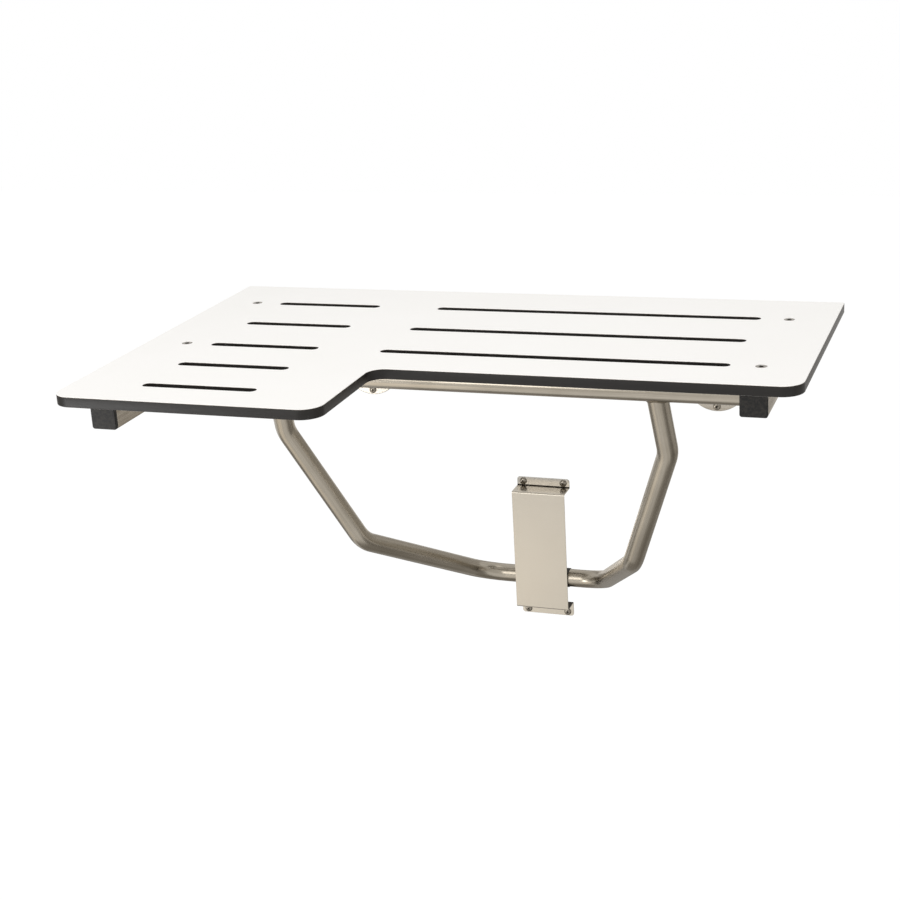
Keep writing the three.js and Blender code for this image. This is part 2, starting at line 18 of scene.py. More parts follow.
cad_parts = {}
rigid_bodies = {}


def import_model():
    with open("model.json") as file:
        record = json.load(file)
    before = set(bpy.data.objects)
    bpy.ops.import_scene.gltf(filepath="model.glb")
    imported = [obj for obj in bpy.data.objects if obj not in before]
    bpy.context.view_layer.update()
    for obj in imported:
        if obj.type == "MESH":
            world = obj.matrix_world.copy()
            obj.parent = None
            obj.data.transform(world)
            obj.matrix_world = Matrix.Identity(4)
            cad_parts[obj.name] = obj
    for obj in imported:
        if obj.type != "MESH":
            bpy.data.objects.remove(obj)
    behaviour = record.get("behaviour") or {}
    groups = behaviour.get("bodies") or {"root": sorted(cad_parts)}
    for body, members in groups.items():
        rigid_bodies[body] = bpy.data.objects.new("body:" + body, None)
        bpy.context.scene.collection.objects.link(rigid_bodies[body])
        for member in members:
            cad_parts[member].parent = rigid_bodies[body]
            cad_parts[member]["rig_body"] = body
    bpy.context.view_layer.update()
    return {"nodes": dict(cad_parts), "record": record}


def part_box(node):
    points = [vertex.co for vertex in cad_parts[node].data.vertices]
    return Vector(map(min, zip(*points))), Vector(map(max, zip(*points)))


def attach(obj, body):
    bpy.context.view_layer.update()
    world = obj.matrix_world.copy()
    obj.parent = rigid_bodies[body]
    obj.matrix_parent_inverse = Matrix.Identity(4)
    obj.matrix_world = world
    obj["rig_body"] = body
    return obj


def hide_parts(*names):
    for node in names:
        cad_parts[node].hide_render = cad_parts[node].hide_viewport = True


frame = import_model()
slot_of = {row["node"]: row["material_slot"] for row in frame["record"]["subparts"]}

# %% [markdown]
# ## Camera
#
# The photograph is taken from the right of the seat, a little above it, with a moderate lens. The place
# and the two directions below were found by matching the board's straight edges. They come before any
# piece. A camera in Blender looks along its own -Z, so its third column is the direction from the seat
# back to the camera.

# %% Camera
CAMERA_PLACE = Vector((0.66734, -2.16829, 0.66848))
CAMERA_RIGHT = Vector((0.94234, 0.32994, -0.05600))
CAMERA_UP = Vector((-0.05705, 0.32328, 0.94458))
LENS_MM = 67.77
SENSOR_MM = 36.0

camera_data = bpy.data.cameras.new("camera")
camera_data.lens = LENS_MM
camera_data.sensor_width = SENSOR_MM
camera = bpy.data.objects.new("camera", camera_data)
bpy.context.scene.collection.objects.link(camera)
towards_camera = CAMERA_RIGHT.cross(CAMERA_UP)
turn = Matrix((CAMERA_RIGHT, CAMERA_UP, towards_camera)).transposed()
camera.matrix_world = Matrix.Translation(CAMERA_PLACE) @ turn.to_4x4()
bpy.context.scene.camera = camera
bpy.context.scene.view_settings.view_transform = "Standard"
print("camera at", tuple(CAMERA_PLACE))

# %% [markdown]
# ## Shader arithmetic
#
# A finish such as brushed steel is worked out from a few patterns that are added, multiplied and clipped.
# In Blender each of those steps is a node. Writing them as Python sums keeps them readable, so the class
# Shade wraps one output socket and adds a Math node for every operation.


# %% Shade
class Shade:
    """One output socket that Python arithmetic works on."""

    def __init__(self, nodes, socket):
        self.nodes = nodes
        self.socket = socket

    def maths(self, operation, *values):
        return self.nodes.add("ShaderNodeMath", {"operation": operation}, dict(enumerate(values)))

    def __add__(self, other):
        return self.maths("ADD", self, other)

    def __radd__(self, other):
        return self.maths("ADD", other, self)

    def __sub__(self, other):
        return self.maths("SUBTRACT", self, other)

    def __rsub__(self, other):
        return self.maths("SUBTRACT", other, self)

    def __mul__(self, other):
        return self.maths("MULTIPLY", self, other)

    def __rmul__(self, other):
        return self.maths("MULTIPLY", other, self)

    def __truediv__(self, other):
        return self.maths("DIVIDE", self, other)

    def least(self, other):
        return self.maths("MINIMUM", self, other)

    def most(self, other):
        return self.maths("MAXIMUM", self, other)

    def root(self):
        return self.maths("SQRT", self)

    def unsigned(self):
        return self.maths("ABSOLUTE", self)

    def ramp(self, low, high):
        """0 at low and under, 1 at high and over, and smooth between."""
        settings = {"interpolation_type": "SMOOTHSTEP"}
        inputs = {"Value": self, "From Min": low, "From Max": high}
        return self.nodes.add("ShaderNodeMapRange", settings, inputs)


print("operations of a Shade:", ", ".join(name for name in vars(Shade) if not name.startswith("_")))

# %% [markdown]
# Every other kind of node is added by one method of the class Nodes, which sets the node's own settings
# before its sockets. A Mix node has separate sockets for numbers, for vectors and for colours, all with
# the same names, so the ones for colours are picked by their numbers.

# %% Nodes
MIX_FIRST = 6
MIX_SECOND = 7
MIX_RESULT = 2


class Nodes:
    """A node tree that nodes are added to by type, settings and inputs."""

    def __init__(self, tree):
        self.tree = tree
        self.tree.nodes.clear()

    def add(self, kind, settings=None, inputs=None, output=0):
        """Any node: its type, its settings, the values or links of its sockets, and its output."""
        node = self.tree.nodes.new(kind)
        for name, value in (settings or {}).items():
            setattr(node, name, value)
        for name, value in (inputs or {}).items():
            socket = node.inputs[name]
            if isinstance(value, Shade):
                self.tree.links.new(value.socket, socket)
            else:
                socket.default_value = value
        return Shade(self, node.outputs[output])

    def ends_in(self, shader, kind="Material"):
        """Wires the last shader to the output of a Material or a World."""
        output = self.tree.nodes.new("ShaderNodeOutput" + kind)
        self.tree.links.new(shader.socket, output.inputs["Surface"])

    def mix(self, factor, first, second):
        """A colour between two colours, which a Math node would turn grey."""
        inputs = {"Factor": factor, MIX_FIRST: first, MIX_SECOND: second}
        return self.add("ShaderNodeMix", {"data_type": "RGBA"}, inputs, MIX_RESULT)

    def stretched(self, vector, amounts):
        """A vector multiplied by a different amount along each axis."""
        return self.add("ShaderNodeVectorMath", {"operation": "MULTIPLY"}, {0: vector, 1: amounts})

    def along(self, vector, axis):
        """How far a place lies along X, Y or Z."""
        return self.add("ShaderNodeSeparateXYZ", None, {"Vector": vector}, axis)

    def noise(self, vector, scale, detail=2.0, roughness=0.5):
        inputs = {"Vector": vector, "Scale": scale, "Detail": detail, "Roughness": roughness}
        return self.add("ShaderNodeTexNoise", None, inputs)

    def place_on_piece(self):
        return self.add("ShaderNodeTexCoord", output="Object")


print("methods of Nodes:", ", ".join(name for name in vars(Nodes) if not name.startswith("_")))

# %% [markdown]
# ## Finishes
#
# Each finish is one Principled shader. Whatever is the same all over a surface is set on the shader's own
# socket. Only what really changes over the surface, such as the colour of a streak or the roughness of a
# scratch, comes from a pattern. The patterns use the object's own metres, so they stay fixed to a piece
# when it folds.

# %% A finish
SCREEN_OFFSET = 0.055
SCREEN_POWER = 2.4


def colour(red, green, blue):
    """A colour as a shader takes it, from the 0 to 255 numbers that a screen shows."""
    shares = [(c / 255 + SCREEN_OFFSET) / (1 + SCREEN_OFFSET) for c in (red, green, blue)]
    return tuple(share**SCREEN_POWER for share in shares) + (1.0,)


def new_material(name):
    material = bpy.data.materials.new(name)
    material.use_nodes = True
    return material, Nodes(material.node_tree)


def finish(name, base_colour, roughness, metallic=0.0, height=None, height_mm=0.1, fixed=None):
    """Wires a Principled shader. fixed holds what is the same all over, for its own sockets."""
    nodes = base_colour.nodes
    inputs = {"Base Color": base_colour, "Roughness": roughness, "Metallic": metallic}
    inputs.update(fixed or {})
    if height is not None:
        bump = {"Height": height, "Distance": height_mm / 1000, "Strength": 1.0}
        inputs["Normal"] = nodes.add("ShaderNodeBump", None, bump)
    nodes.ends_in(nodes.add("ShaderNodeBsdfPrincipled", None, inputs))
    print("finish:", name)


print("a middle grey on the screen is", round(colour(128, 128, 128)[0], 3), "of the light")

# %% [markdown]
# ### Satin stainless steel
#
# The tubes, rails and plates are satin stainless. A belt has drawn long fine scratches along them, and
# over those lie wider soft bands where the belt pressed harder. Both come from noise that is stretched
# along the belt's direction. The bent leg needs its own coordinates, because its direction changes at
# every bend: the mesh stores for each point where it would lie on the straight tube, before bending.

# %% Steel
SCRATCH_SCALE = 1300.0
BAND_SCALE = 190.0
PATCH_SCALE = 18.0
STREAK_LENGTH = 0.012
SCRATCH_DEPTH_MM = 0.004
SCRATCH_TONE = 0.45
BAND_TONE = 0.75
PATCH_TONE = 0.4
TONE_RANGE = (0.55, 1.05)
SCRATCH_ROUGHNESS = 0.06
PATCH_ROUGHNESS = 0.05
MIDDLE_ROUGHNESS = 0.03


def steel(name, light, dark, drawn_along, straightened=False, rough=0.2):
    """Steel that a belt has drawn along one axis."""
    material, nodes = new_material(name)
    if straightened:
        where = nodes.add("ShaderNodeAttribute", {"attribute_name": "straight"}, output="Vector")
    else:
        where = nodes.place_on_piece()
    squeeze = [1.0, 1.0, 1.0]
    squeeze["xyz".index(drawn_along)] = STREAK_LENGTH
    drawn_out = nodes.stretched(where, squeeze)
    scratches = nodes.noise(drawn_out, SCRATCH_SCALE, detail=3.0)
    bands = nodes.noise(drawn_out, BAND_SCALE)
    patches = nodes.noise(where, PATCH_SCALE, detail=3.0)
    tone = SCRATCH_TONE * scratches + BAND_TONE * bands + PATCH_TONE * patches
    base = nodes.mix(tone.ramp(*TONE_RANGE), dark, light)
    uneven = SCRATCH_ROUGHNESS * scratches + PATCH_ROUGHNESS * patches - MIDDLE_ROUGHNESS
    finish(name, base, rough + uneven, metallic=1.0, height=scratches, height_mm=SCRATCH_DEPTH_MM)
    return material


# The tube and leg steels are darker than the rails and plates: partly a duller brushed finish, and partly
# painted shade for the shade under the board.
steel_x = steel("steel along x", colour(175, 167, 154), colour(149, 141, 127), "x")
steel_y = steel("steel along y", colour(200, 192, 179), colour(172, 163, 149), "y")
steel_bent = steel(
    "bent steel", colour(168, 160, 147), colour(144, 136, 122), "z", straightened=True, rough=0.24
)
plate_steel = steel("plate steel", colour(198, 191, 180), colour(172, 164, 151), "x", rough=0.27)

# %% [markdown]
# ### Screws, weld and plastics
#
# The screws are turned and tumbled, so their marks have no direction. Their recesses are painted
# near-black, as painted shade where the recess lies in shadow. The weld is steel that has seen heat, so
# it is browner and rougher. Moulded black plastic is never quite even: it has a fine grain and soft
# blotches. One function makes every turned steel and another every moulded plastic, because only the
# colours and the scale of the marks differ.

# %% Turned steel and moulded plastic
MARK_SCALE = 900.0
MARK_ROUGHNESS = 0.1
MARK_DEPTH_MM = 0.02
BLOTCH_RANGE = (0.35, 0.65)
BLOTCH_ROUGHNESS = 0.12
GRAIN_DEPTH_MM = 0.05
LOW_GLOSS = {"Specular IOR Level": 0.28}


def turned_steel(name, light, dark, rough):
    material, nodes = new_material(name)
    marks = nodes.noise(nodes.place_on_piece(), MARK_SCALE, detail=3.0)
    base = nodes.mix(marks, dark, light)
    finish(name, base, rough + MARK_ROUGHNESS * marks, 1.0, marks, MARK_DEPTH_MM)
    return material


def moulded(name, light, dark, rough, blotch_scale, grain_scale):
    material, nodes = new_material(name)
    where = nodes.place_on_piece()
    blotches = nodes.noise(where, blotch_scale, detail=4.0, roughness=0.6)
    grain = nodes.noise(where, grain_scale)
    base = nodes.mix(blotches.ramp(*BLOTCH_RANGE), dark, light)
    finish(name, base, rough + BLOTCH_ROUGHNESS * blotches, 0.0, grain, GRAIN_DEPTH_MM, LOW_GLOSS)
    return material


screw_steel = turned_steel("screw steel", colour(158, 151, 140), colour(98, 91, 80), 0.14)
# painted shade: the recesses get a near-black steel that stands in for the shadow inside them
shaded_recess_steel = turned_steel("recess steel", colour(34, 30, 26), colour(14, 12, 11), 0.4)
weld_steel = turned_steel("weld steel", colour(134, 124, 108), colour(84, 75, 63), 0.35)
black_plastic = moulded("black plastic", colour(40, 37, 33), colour(9, 8, 7), 0.42, 330.0, 1300.0)
nylon = moulded("nylon", colour(224, 219, 208), colour(208, 202, 190), 0.45, 120.0, 1500.0)

# %% [markdown]
# ### Laminate
#
# The board is a solid laminate: thin white faces over a black core. It could be three boards on top of
# each other, but then every slot would have to be cut three times. Which of the two shows depends only on
# the depth below the nearer face, so one rule paints the edges, the drain slots and the screw holes
# alike. The core is pressed from papers, which leave faint flat streaks in it, and where it meets the
# white there is a thin brown line.

# %% Laminate
FACE_LAYER = 0.00035
FACE_FADE = 0.0002
UNDERSIDE_SHARE = 0.25
CLOUD_SCALE = 9.0
FACE_GRAIN_SCALE = 1500.0
PAPER_SCALE = 1400.0
PAPER_STRETCH = (0.02, 0.02, 1.0)
FACE_ROUGHNESS = 0.42
CORE_GLOSS = 0.1
FACE_GRAIN_ROUGHNESS = 0.06
LAMINATE_DEPTH_MM = 0.02


def laminate(name, underside, top):
    """White faces over a black core. The layer at the underside is thinner, by UNDERSIDE_SHARE."""
    material, nodes = new_material(name)
    where = nodes.place_on_piece()
    height = nodes.along(where, 2)
    depth = (top - height).least((height - underside) / UNDERSIDE_SHARE)
    core = depth.ramp(FACE_LAYER, FACE_LAYER + FACE_FADE)
    rim = core * (1.0 - depth.ramp(FACE_LAYER + FACE_FADE, FACE_LAYER + 2 * FACE_FADE))
    cloudy = nodes.noise(where, CLOUD_SCALE)
    grain = nodes.noise(where, FACE_GRAIN_SCALE)
    face = nodes.mix(cloudy, colour(246, 244, 240), colour(249, 247, 244))
    papers = nodes.noise(nodes.stretched(where, PAPER_STRETCH), PAPER_SCALE)
    black = nodes.mix(papers, colour(20, 18, 16), colour(38, 35, 32))
    edge = nodes.mix(rim, black, colour(130, 106, 80))
    base = nodes.mix(core, face, edge)
    rough = FACE_ROUGHNESS - CORE_GLOSS * core + FACE_GRAIN_ROUGHNESS * grain
    finish(name, base, rough, 0.0, grain + core * papers, LAMINATE_DEPTH_MM, LOW_GLOSS)
    return material


board_low, board_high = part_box("seat_board")
white_laminate = laminate("laminate", board_low.z, board_high.z)

# %% [markdown]
# ## Outlines
#
# Almost every piece here is a flat outline with rounded corners that is given a thickness: the board, the
# plates, the tubes and even the screws' sockets. An outline is a list of corners with a radius each, and
# this step turns it into points. A second helper moves a loop sideways, which is how the softened edges
# are made. It stops at a limit in very sharp corners, where the moved point would otherwise run away.

# %% Rounded corners
ARC_STEP = math.radians(6)
FEWEST_STEPS = 2
SAME_PLACE = 1e-7


def turned_by(vector, angle):
    return Matrix.Rotation(angle, 2) @ vector


def rounded(corners):
    """Points round a closed outline whose corners are (u, v, radius)."""
    points = []
    for i, (u, v, radius) in enumerate(corners):
        corner = Vector((u, v))
        if radius == 0:
            points.append(corner)
            continue
        before = (Vector(corners[i - 1][:2]) - corner).normalized()
        after = (Vector(corners[(i + 1) % len(corners)][:2]) - corner).normalized()
        half = before.angle(after) / 2
        centre = corner + (before + after).normalized() * (radius / math.sin(half))
        start = corner + before * (radius / math.tan(half)) - centre
        end = corner + after * (radius / math.tan(half)) - centre
        sweep = math.atan2(start.x * end.y - start.y * end.x, start.dot(end))
        steps = max(FEWEST_STEPS, math.ceil(abs(sweep) / ARC_STEP))
        for k in range(steps + 1):
            point = centre + turned_by(start, sweep * k / steps)
            if not points or (point - points[-1]).length > SAME_PLACE:
                points.append(point)
    return points


print("a triangle with round corners has", len(rounded([(0, 0, 1), (9, 0, 1), (0, 9, 1)])), "points")

# %% Circles, squares and moved loops
SHARPEST_COSINE = 0.5


def angles_round(count):
    """Even angles of one full turn."""
    return [2 * math.pi * k / count for k in range(count)]


def circle(radius, centre=(0.0, 0.0), sides=64):
    middle = Vector(centre)
    return [middle + turned_by(Vector((radius, 0.0)), angle) for angle in angles_round(sides)]


def square(width, height, radius, centre=(0.0, 0.0)):
    u, v = width / 2, height / 2
    signs = [(1, -1), (1, 1), (-1, 1), (-1, -1)]
    return rounded([(centre[0] + a * u, centre[1] + b * v, radius) for a, b in signs])


def moved_left(points, distance):
    """The loop moved to the left of its direction of travel."""
    moved = []
    for i, point in enumerate(points):
        before = (point - points[i - 1]).normalized()
        after = (points[(i + 1) % len(points)] - point).normalized()
        left = Vector((-before.y - after.y, before.x + after.x)).normalized()
        across = Vector((-before.y, before.x))
        moved.append(point + left * (distance / max(left.dot(across), SHARPEST_COSINE)))
    return moved


print("a rounded square has", len(square(0.03, 0.03, 0.003)), "points")

# %% [markdown]
# ## Plates
#
# A cube that is scaled to size has edges like knives, and nothing real does. A plate here is built level
# by level: at each level the outline is moved in a little, so that both rims are rounded over. A hole is
# treated the same way, and its levels may also form a countersink. The flat faces are filled last, and
# their rims are marked sharp, so that the faces stay flat in the light.

# %% Levels of an edge
EDGE_STEPS = 4


def softened(low, high, softening):
    """Levels of an edge: how far in, and how high."""
    levels = []
    for k in range(EDGE_STEPS + 1):
        angle = math.pi / 2 * k / EDGE_STEPS
        levels.append((softening * (1 - math.sin(angle)), low + softening * (1 - math.cos(angle))))
    return levels + [(inward, high + low - height) for inward, height in reversed(levels)]


print("a softened edge has", len(softened(0.0, 0.01, 0.001)), "levels")


# %% Plates
def band(mesh, first, second):
    """Faces between two closed rings of points."""
    for i in range(len(first)):
        j = (i + 1) % len(first)
        mesh.faces.new((first[i], first[j], second[j], second[i]))


def plate(mesh, outline, holes, low, high, softening, turned):
    """Adds a plate to a bmesh. holes are clockwise loops, or pairs of such a loop and its levels."""
    levels = softened(low, high, softening)
    rims = [[], []]
    for loop in [outline, *holes]:
        own_levels = levels
        if isinstance(loop, tuple):
            loop, own_levels = loop
        rings = []
        for inward, height in own_levels:
            ring = [mesh.verts.new(turned(p.x, p.y, height)) for p in moved_left(loop, inward)]
            rings.append(ring)
        for below, above in zip(rings, rings[1:]):
            band(mesh, below, above)
        for rim, ring in zip(rims, (rings[0], rings[-1])):
            rim += [mesh.edges.get(pair) for pair in zip(ring, ring[1:] + ring[:1])]
    for rim in rims:
        bmesh.ops.triangle_fill(mesh, use_beauty=True, use_dissolve=False, edges=rim)
        for edge in rim:
            edge.smooth = False


def flat(u, v, w):
    """Lying flat: the outline is seen from above."""
    return Vector((u, v, w))


def along_y(u, v, w):
    """Facing the room: the outline is in X and Z, and the thickness runs along Y."""
    return Vector((u, w, v))


def along_x(u, v, w):
    """Facing sideways: the outline is in Y and Z, and the thickness runs along X."""
    return Vector((w, u, v))


print("facing the room, (1, 2, 3) of a plate lies at", tuple(along_y(1, 2, 3)))

# %% [markdown]
# ## Putting a piece in place
#
# Every finished piece stands for one measured solid. It moves with the same body and hides the solid.
# Doing that in one place means that no piece can be left behind when the seat folds.

# %% Dress a measured solid
SHARP_ANGLE = math.radians(35)


def object_from(name, mesh, materials):
    """Turns a bmesh into an object of the scene."""
    data = bpy.data.meshes.new(name)
    mesh.to_mesh(data)
    mesh.free()
    for material in materials:
        data.materials.append(material)
    thing = bpy.data.objects.new(name, data)
    bpy.context.scene.collection.objects.link(thing)
    return thing


def made_piece(name, mesh, materials, body):
    """A piece that moves with a body: smooth where it is round, sharp at its corners."""
    bmesh.ops.recalc_face_normals(mesh, faces=mesh.faces)
    for face in mesh.faces:
        face.smooth = True
    for edge in mesh.edges:
        if len(edge.link_faces) == 2 and edge.calc_face_angle(0) > SHARP_ANGLE:
            edge.smooth = False
    piece = object_from(name, mesh, materials)
    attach(piece, body)
    print(name, len(piece.data.polygons), "faces")
    return piece


def dress(node, mesh, *materials):
    """Turns a bmesh into the piece that stands for a measured solid."""
    piece = made_piece("fine_" + node, mesh, materials, frame["nodes"][node]["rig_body"])
    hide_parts(node)


def dress_with_plate(node, material, *plate_values):
    """The same for a solid that is one plate: its outline, holes, low, high, softening and way round."""
    mesh = bmesh.new()
    plate(mesh, *plate_values)
    dress(node, mesh, material)


# %% [markdown]
# ## Board
#
# The real board is routed from one sheet: an L with rounded front corners, eight drain slots, and four
# countersunk holes over the rails. It could be cut with booleans, but those leave ragged edges that can't
# be softened. Instead the outline and all its holes are filled in one go, and each rim gets its own small
# round.

# %% Board sizes
FRONT_CORNER = 0.025
INSIDE_CORNER = 0.020
REAR_CORNER = 0.003
WING_WIDTH = 0.3375
MAIN_DEPTH = 0.372
SLOT_WIDTH = 0.014
SLOT_SIDE_MARGIN = 0.091
SLOT_INNER_MARGIN = 0.1005
SLOT_GAP = 0.083
SLOT_REAR_MARGIN = 0.0915
MAIN_SLOT_FRONT_MARGIN = 0.0735
WING_SLOT_FRONT_MARGIN = 0.061
MAIN_ROWS = 3
WING_ROWS = 2

wing_edge = board_low.x + WING_WIDTH
main_front = board_high.y - MAIN_DEPTH
first_row = board_high.y - SLOT_REAR_MARGIN
last_main_row = main_front + MAIN_SLOT_FRONT_MARGIN
last_wing_row = board_low.y + WING_SLOT_FRONT_MARGIN
main_pitch = (first_row - last_main_row) / (MAIN_ROWS - 1)
wing_pitch = (last_main_row - last_wing_row) / WING_ROWS
main_rows = [first_row - i * main_pitch for i in range(MAIN_ROWS)]
wing_rows = [last_main_row - (i + 1) * wing_pitch for i in range(WING_ROWS)]
wing_slot = (board_low.x + SLOT_SIDE_MARGIN, wing_edge - SLOT_INNER_MARGIN)
main_slot = (wing_slot[1] + SLOT_GAP, board_high.x - SLOT_SIDE_MARGIN)
print("slots from", wing_slot, "and", main_slot)

# %% Holes of the board
BOARD_SOFTENING = 0.0007
HOLE_SOFTENING = 0.0002
BORE_CLEARANCE = 0.0003
SCREW_SUNK = 0.0003
SCREW_HEAD_HEIGHT = 0.0038
SCREW_SHANK_RADIUS = 0.003


def slot_hole(ends, row):
    middle = (ends[0] + ends[1]) / 2
    loop = square(ends[1] - ends[0], SLOT_WIDTH, SLOT_WIDTH / 2, (middle, row))
    return loop[::-1]


def countersunk_hole(x, y, head_radius, shank_radius):
    """A screw hole: the shank's bore, the cone of its head, and the wall above it."""
    wider = head_radius - shank_radius
    top = board_high.z
    levels = [
        (BOARD_SOFTENING, board_low.z),
        (0.0, board_low.z + BOARD_SOFTENING),
        (0.0, top - SCREW_SUNK - SCREW_HEAD_HEIGHT),
        (wider, top - SCREW_SUNK),
        (wider, top - HOLE_SOFTENING),
        (wider + HOLE_SOFTENING, top),
    ]
    return circle(shank_radius, (x, y))[::-1], levels


def solid_box(node):
    """The lowest corner, the highest corner and the middle of a measured solid."""
    low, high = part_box(node)
    return low, high, (low + high) / 2


board_screws = [n for n in sorted(frame["nodes"]) if n.endswith("board_screw")]
holes = [slot_hole(wing_slot, row) for row in main_rows + wing_rows]
holes += [slot_hole(main_slot, row) for row in main_rows]
for node in board_screws:
    low, high, middle = solid_box(node)
    head = (high.x - low.x) / 2 + BORE_CLEARANCE
    holes.append(countersunk_hole(middle.x, middle.y, head, SCREW_SHANK_RADIUS + BORE_CLEARANCE))
print("the board has", len(holes), "holes")

# %% Board
outline = rounded(
    [
        (board_low.x, board_high.y, REAR_CORNER),
        (board_low.x, board_low.y, FRONT_CORNER),
        (wing_edge, board_low.y, FRONT_CORNER),
        (wing_edge, main_front, INSIDE_CORNER),
        (board_high.x, main_front, FRONT_CORNER),
        (board_high.x, board_high.y, REAR_CORNER),
    ]
)
thickness = (board_low.z, board_high.z)
dress_with_plate("seat_board", white_laminate, outline, holes, *thickness, BOARD_SOFTENING, flat)

# %% [markdown]
# ## Rails and caps
#
# The rails are square tube, so their corners are round outside and inside, and their cut ends show the
# wall. Each end is closed by a moulded cap: a flat head the size of the rail, and a plug that grips
# inside it. A rail could be a box with a Solidify modifier, but that gives one corner radius to both
# skins. A plate with a square hole has the right radius on each.

# %% Rails and caps
SIDES = ("left", "right")
RAIL_CORNER = 0.003
RAIL_WALL = 0.0016
CUT_EDGE = 0.0002
CAP_SOFTENING = 0.0009
CAP_HEAD = 0.005
PLUG_PLAY = 0.0003
PLUG_BITE = 0.0001

for side in SIDES:
    low, high, middle = solid_box(side + "_rail")
    centre = (middle.x, middle.z)
    size = high.x - low.x
    bore = size - 2 * RAIL_WALL
    skin = square(size, size, RAIL_CORNER, centre)
    hollow = square(bore, bore, RAIL_CORNER - RAIL_WALL, centre)[::-1]
    dress_with_plate(side + "_rail", steel_y, skin, [hollow], low.y, high.y, CUT_EDGE, along_y)
    for end in ("front", "rear"):
        cap_low, cap_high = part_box(f"{side}_{end}_cap")
        head = (cap_low.y, cap_low.y + CAP_HEAD)
        plug = (head[1] - PLUG_BITE, cap_high.y)
        if end == "rear":
            head = (cap_high.y - CAP_HEAD, cap_high.y)
            plug = (cap_low.y, head[0] + PLUG_BITE)
        cap = bmesh.new()
        plug_size = bore - 2 * PLUG_PLAY
        plate(cap, skin, [], *head, CAP_SOFTENING, along_y)
        plug_outline = square(plug_size, plug_size, RAIL_CORNER - RAIL_WALL, centre)
        plate(cap, plug_outline, [], *plug, CUT_EDGE, along_y)
        dress(f"{side}_{end}_cap", cap, black_plastic)

# %% [markdown]
# ## Straight round pieces
#
# The hinge tube, the cross tube, the sleeve, the collars and the bushes in the arms are all rings with a
# length. Blender's own cylinder has knife-sharp rims and no bore, so one short function makes each of
# them as a round plate with a round hole, from the box of its solid.

# %% Straight round pieces
TUBE_WALL = 0.0015
SLEEVE_WALL = 0.0008
COLLAR_WALL = 0.0045
COLLAR_SOFTENING = 0.0006
ARM_BUSH_WALL = 0.0025
ARM_BUSH_SOFTENING = 0.0004


def round_piece(node, wall, softening, material):
    """A ring along X, as wide as the solid's box."""
    low, high, middle = solid_box(node)
    radius = (high.z - low.z) / 2
    centre = (middle.y, middle.z)
    bore = circle(radius - wall, centre)[::-1]
    dress_with_plate(node, material, circle(radius, centre), [bore], low.x, high.x, softening, along_x)


round_piece("hinge_tube", TUBE_WALL, CUT_EDGE, steel_x)
round_piece("cross_tube", TUBE_WALL, CUT_EDGE, steel_x)
round_piece("foot_sleeve", SLEEVE_WALL, CUT_EDGE, black_plastic)
for side in SIDES:
    round_piece(side + "_hinge_collar", COLLAR_WALL, COLLAR_SOFTENING, plate_steel)
    round_piece(side + "_hinge_bush", ARM_BUSH_WALL, ARM_BUSH_SOFTENING, nylon)

# %% [markdown]
# ## Leg
#
# The leg is one tube, bent six times on a former of constant radius. Blender could do this with a
# bevelled curve, but a curve can't shape its ends to fit round another tube, and it can't store where
# each point lay before bending. So a ring of points is carried along the path, turned at every step by
# the least turn that keeps it square to the path. The ends are coped: every line of the tube runs on
# until it meets the cross tube.

# %% Path of the leg
LEG_BEND_RADIUS = 0.050
LEG_TOP_SPREAD = 0.243
LEG_TOP_SETBACK = 0.003
SHOULDER = Vector((0.249, 0.0355, -0.0875))
KNEE = Vector((0.185, 0.1075, -0.2635))
FOOT_SPREAD = 0.089
BEND_FINENESS = 2

_, _, cross_centre = solid_box("cross_tube")
_, _, bar_centre = solid_box("foot_sleeve")
top_point = Vector((LEG_TOP_SPREAD, cross_centre.y + LEG_TOP_SETBACK, cross_centre.z))
cross_middle = Vector((0, cross_centre.y, cross_centre.z))
foot_point = Vector((FOOT_SPREAD, bar_centre.y, bar_centre.z))


def bent_path(corners, radius):
    """Straight runs joined by arcs, as points."""
    path = [corners[0]]
    for before, corner, after in zip(corners, corners[1:], corners[2:]):
        back = (before - corner).normalized()
        ahead = (after - corner).normalized()
        half = back.angle(ahead) / 2
        centre = corner + (back + ahead).normalized() * (radius / math.sin(half))
        start = corner + back * (radius / math.tan(half)) - centre
        axis = ahead.cross(back).normalized()
        sweep = math.pi - 2 * half
        steps = math.ceil(sweep / ARC_STEP) * BEND_FINENESS
        path += [centre + Matrix.Rotation(sweep * k / steps, 3, axis) @ start for k in range(steps + 1)]
    return path + [corners[-1]]


half_leg = [top_point, cross_middle + SHOULDER, cross_middle + KNEE, foot_point]
other_half = [Vector((-p.x, p.y, p.z)) for p in reversed(half_leg)]
leg_path = bent_path(half_leg + other_half, LEG_BEND_RADIUS)
print("the leg's path has", len(leg_path), "points")


# %% Directions along the leg
def frames_along(path):
    """For each point of a path, its direction and two directions across it that never twist."""
    tangents = []
    for i in range(len(path)):
        ahead = path[min(i + 1, len(path) - 1)] - path[max(i - 1, 0)]
        tangents.append(ahead.normalized())
    across = Vector((1, 0, 0)).cross(tangents[0]).normalized()
    frames = []
    for tangent, before in zip(tangents, [tangents[0], *tangents]):
        across = before.rotation_difference(tangent) @ across
        across = (across - tangent * across.dot(tangent)).normalized()
        frames.append((tangent, across, tangent.cross(across)))
    return frames


def point_round(centre, radius, angle, across, other):
    """A point of a ring that lies in two directions across a path."""
    return centre + radius * (math.cos(angle) * across + math.sin(angle) * other)


def meets_cross_tube(point, direction, radius):
    """Where a line from a point meets a tube of that radius round the cross tube's axis."""
    y, z = point.y - cross_centre.y, point.z - cross_centre.z
    a = direction.y**2 + direction.z**2
    b = y * direction.y + z * direction.z
    c = y * y + z * z - radius * radius
    return point + direction * ((-b + math.sqrt(max(b * b - a * c, 0.0))) / a)


leg_frames = frames_along(leg_path)
print("the leg sets off towards", tuple(round(value, 3) for value in leg_frames[0][0]))

# %% Leg
TUBE_RADIUS = 0.0127
RING_SIDES = 48
COPE_BITE = 0.0004


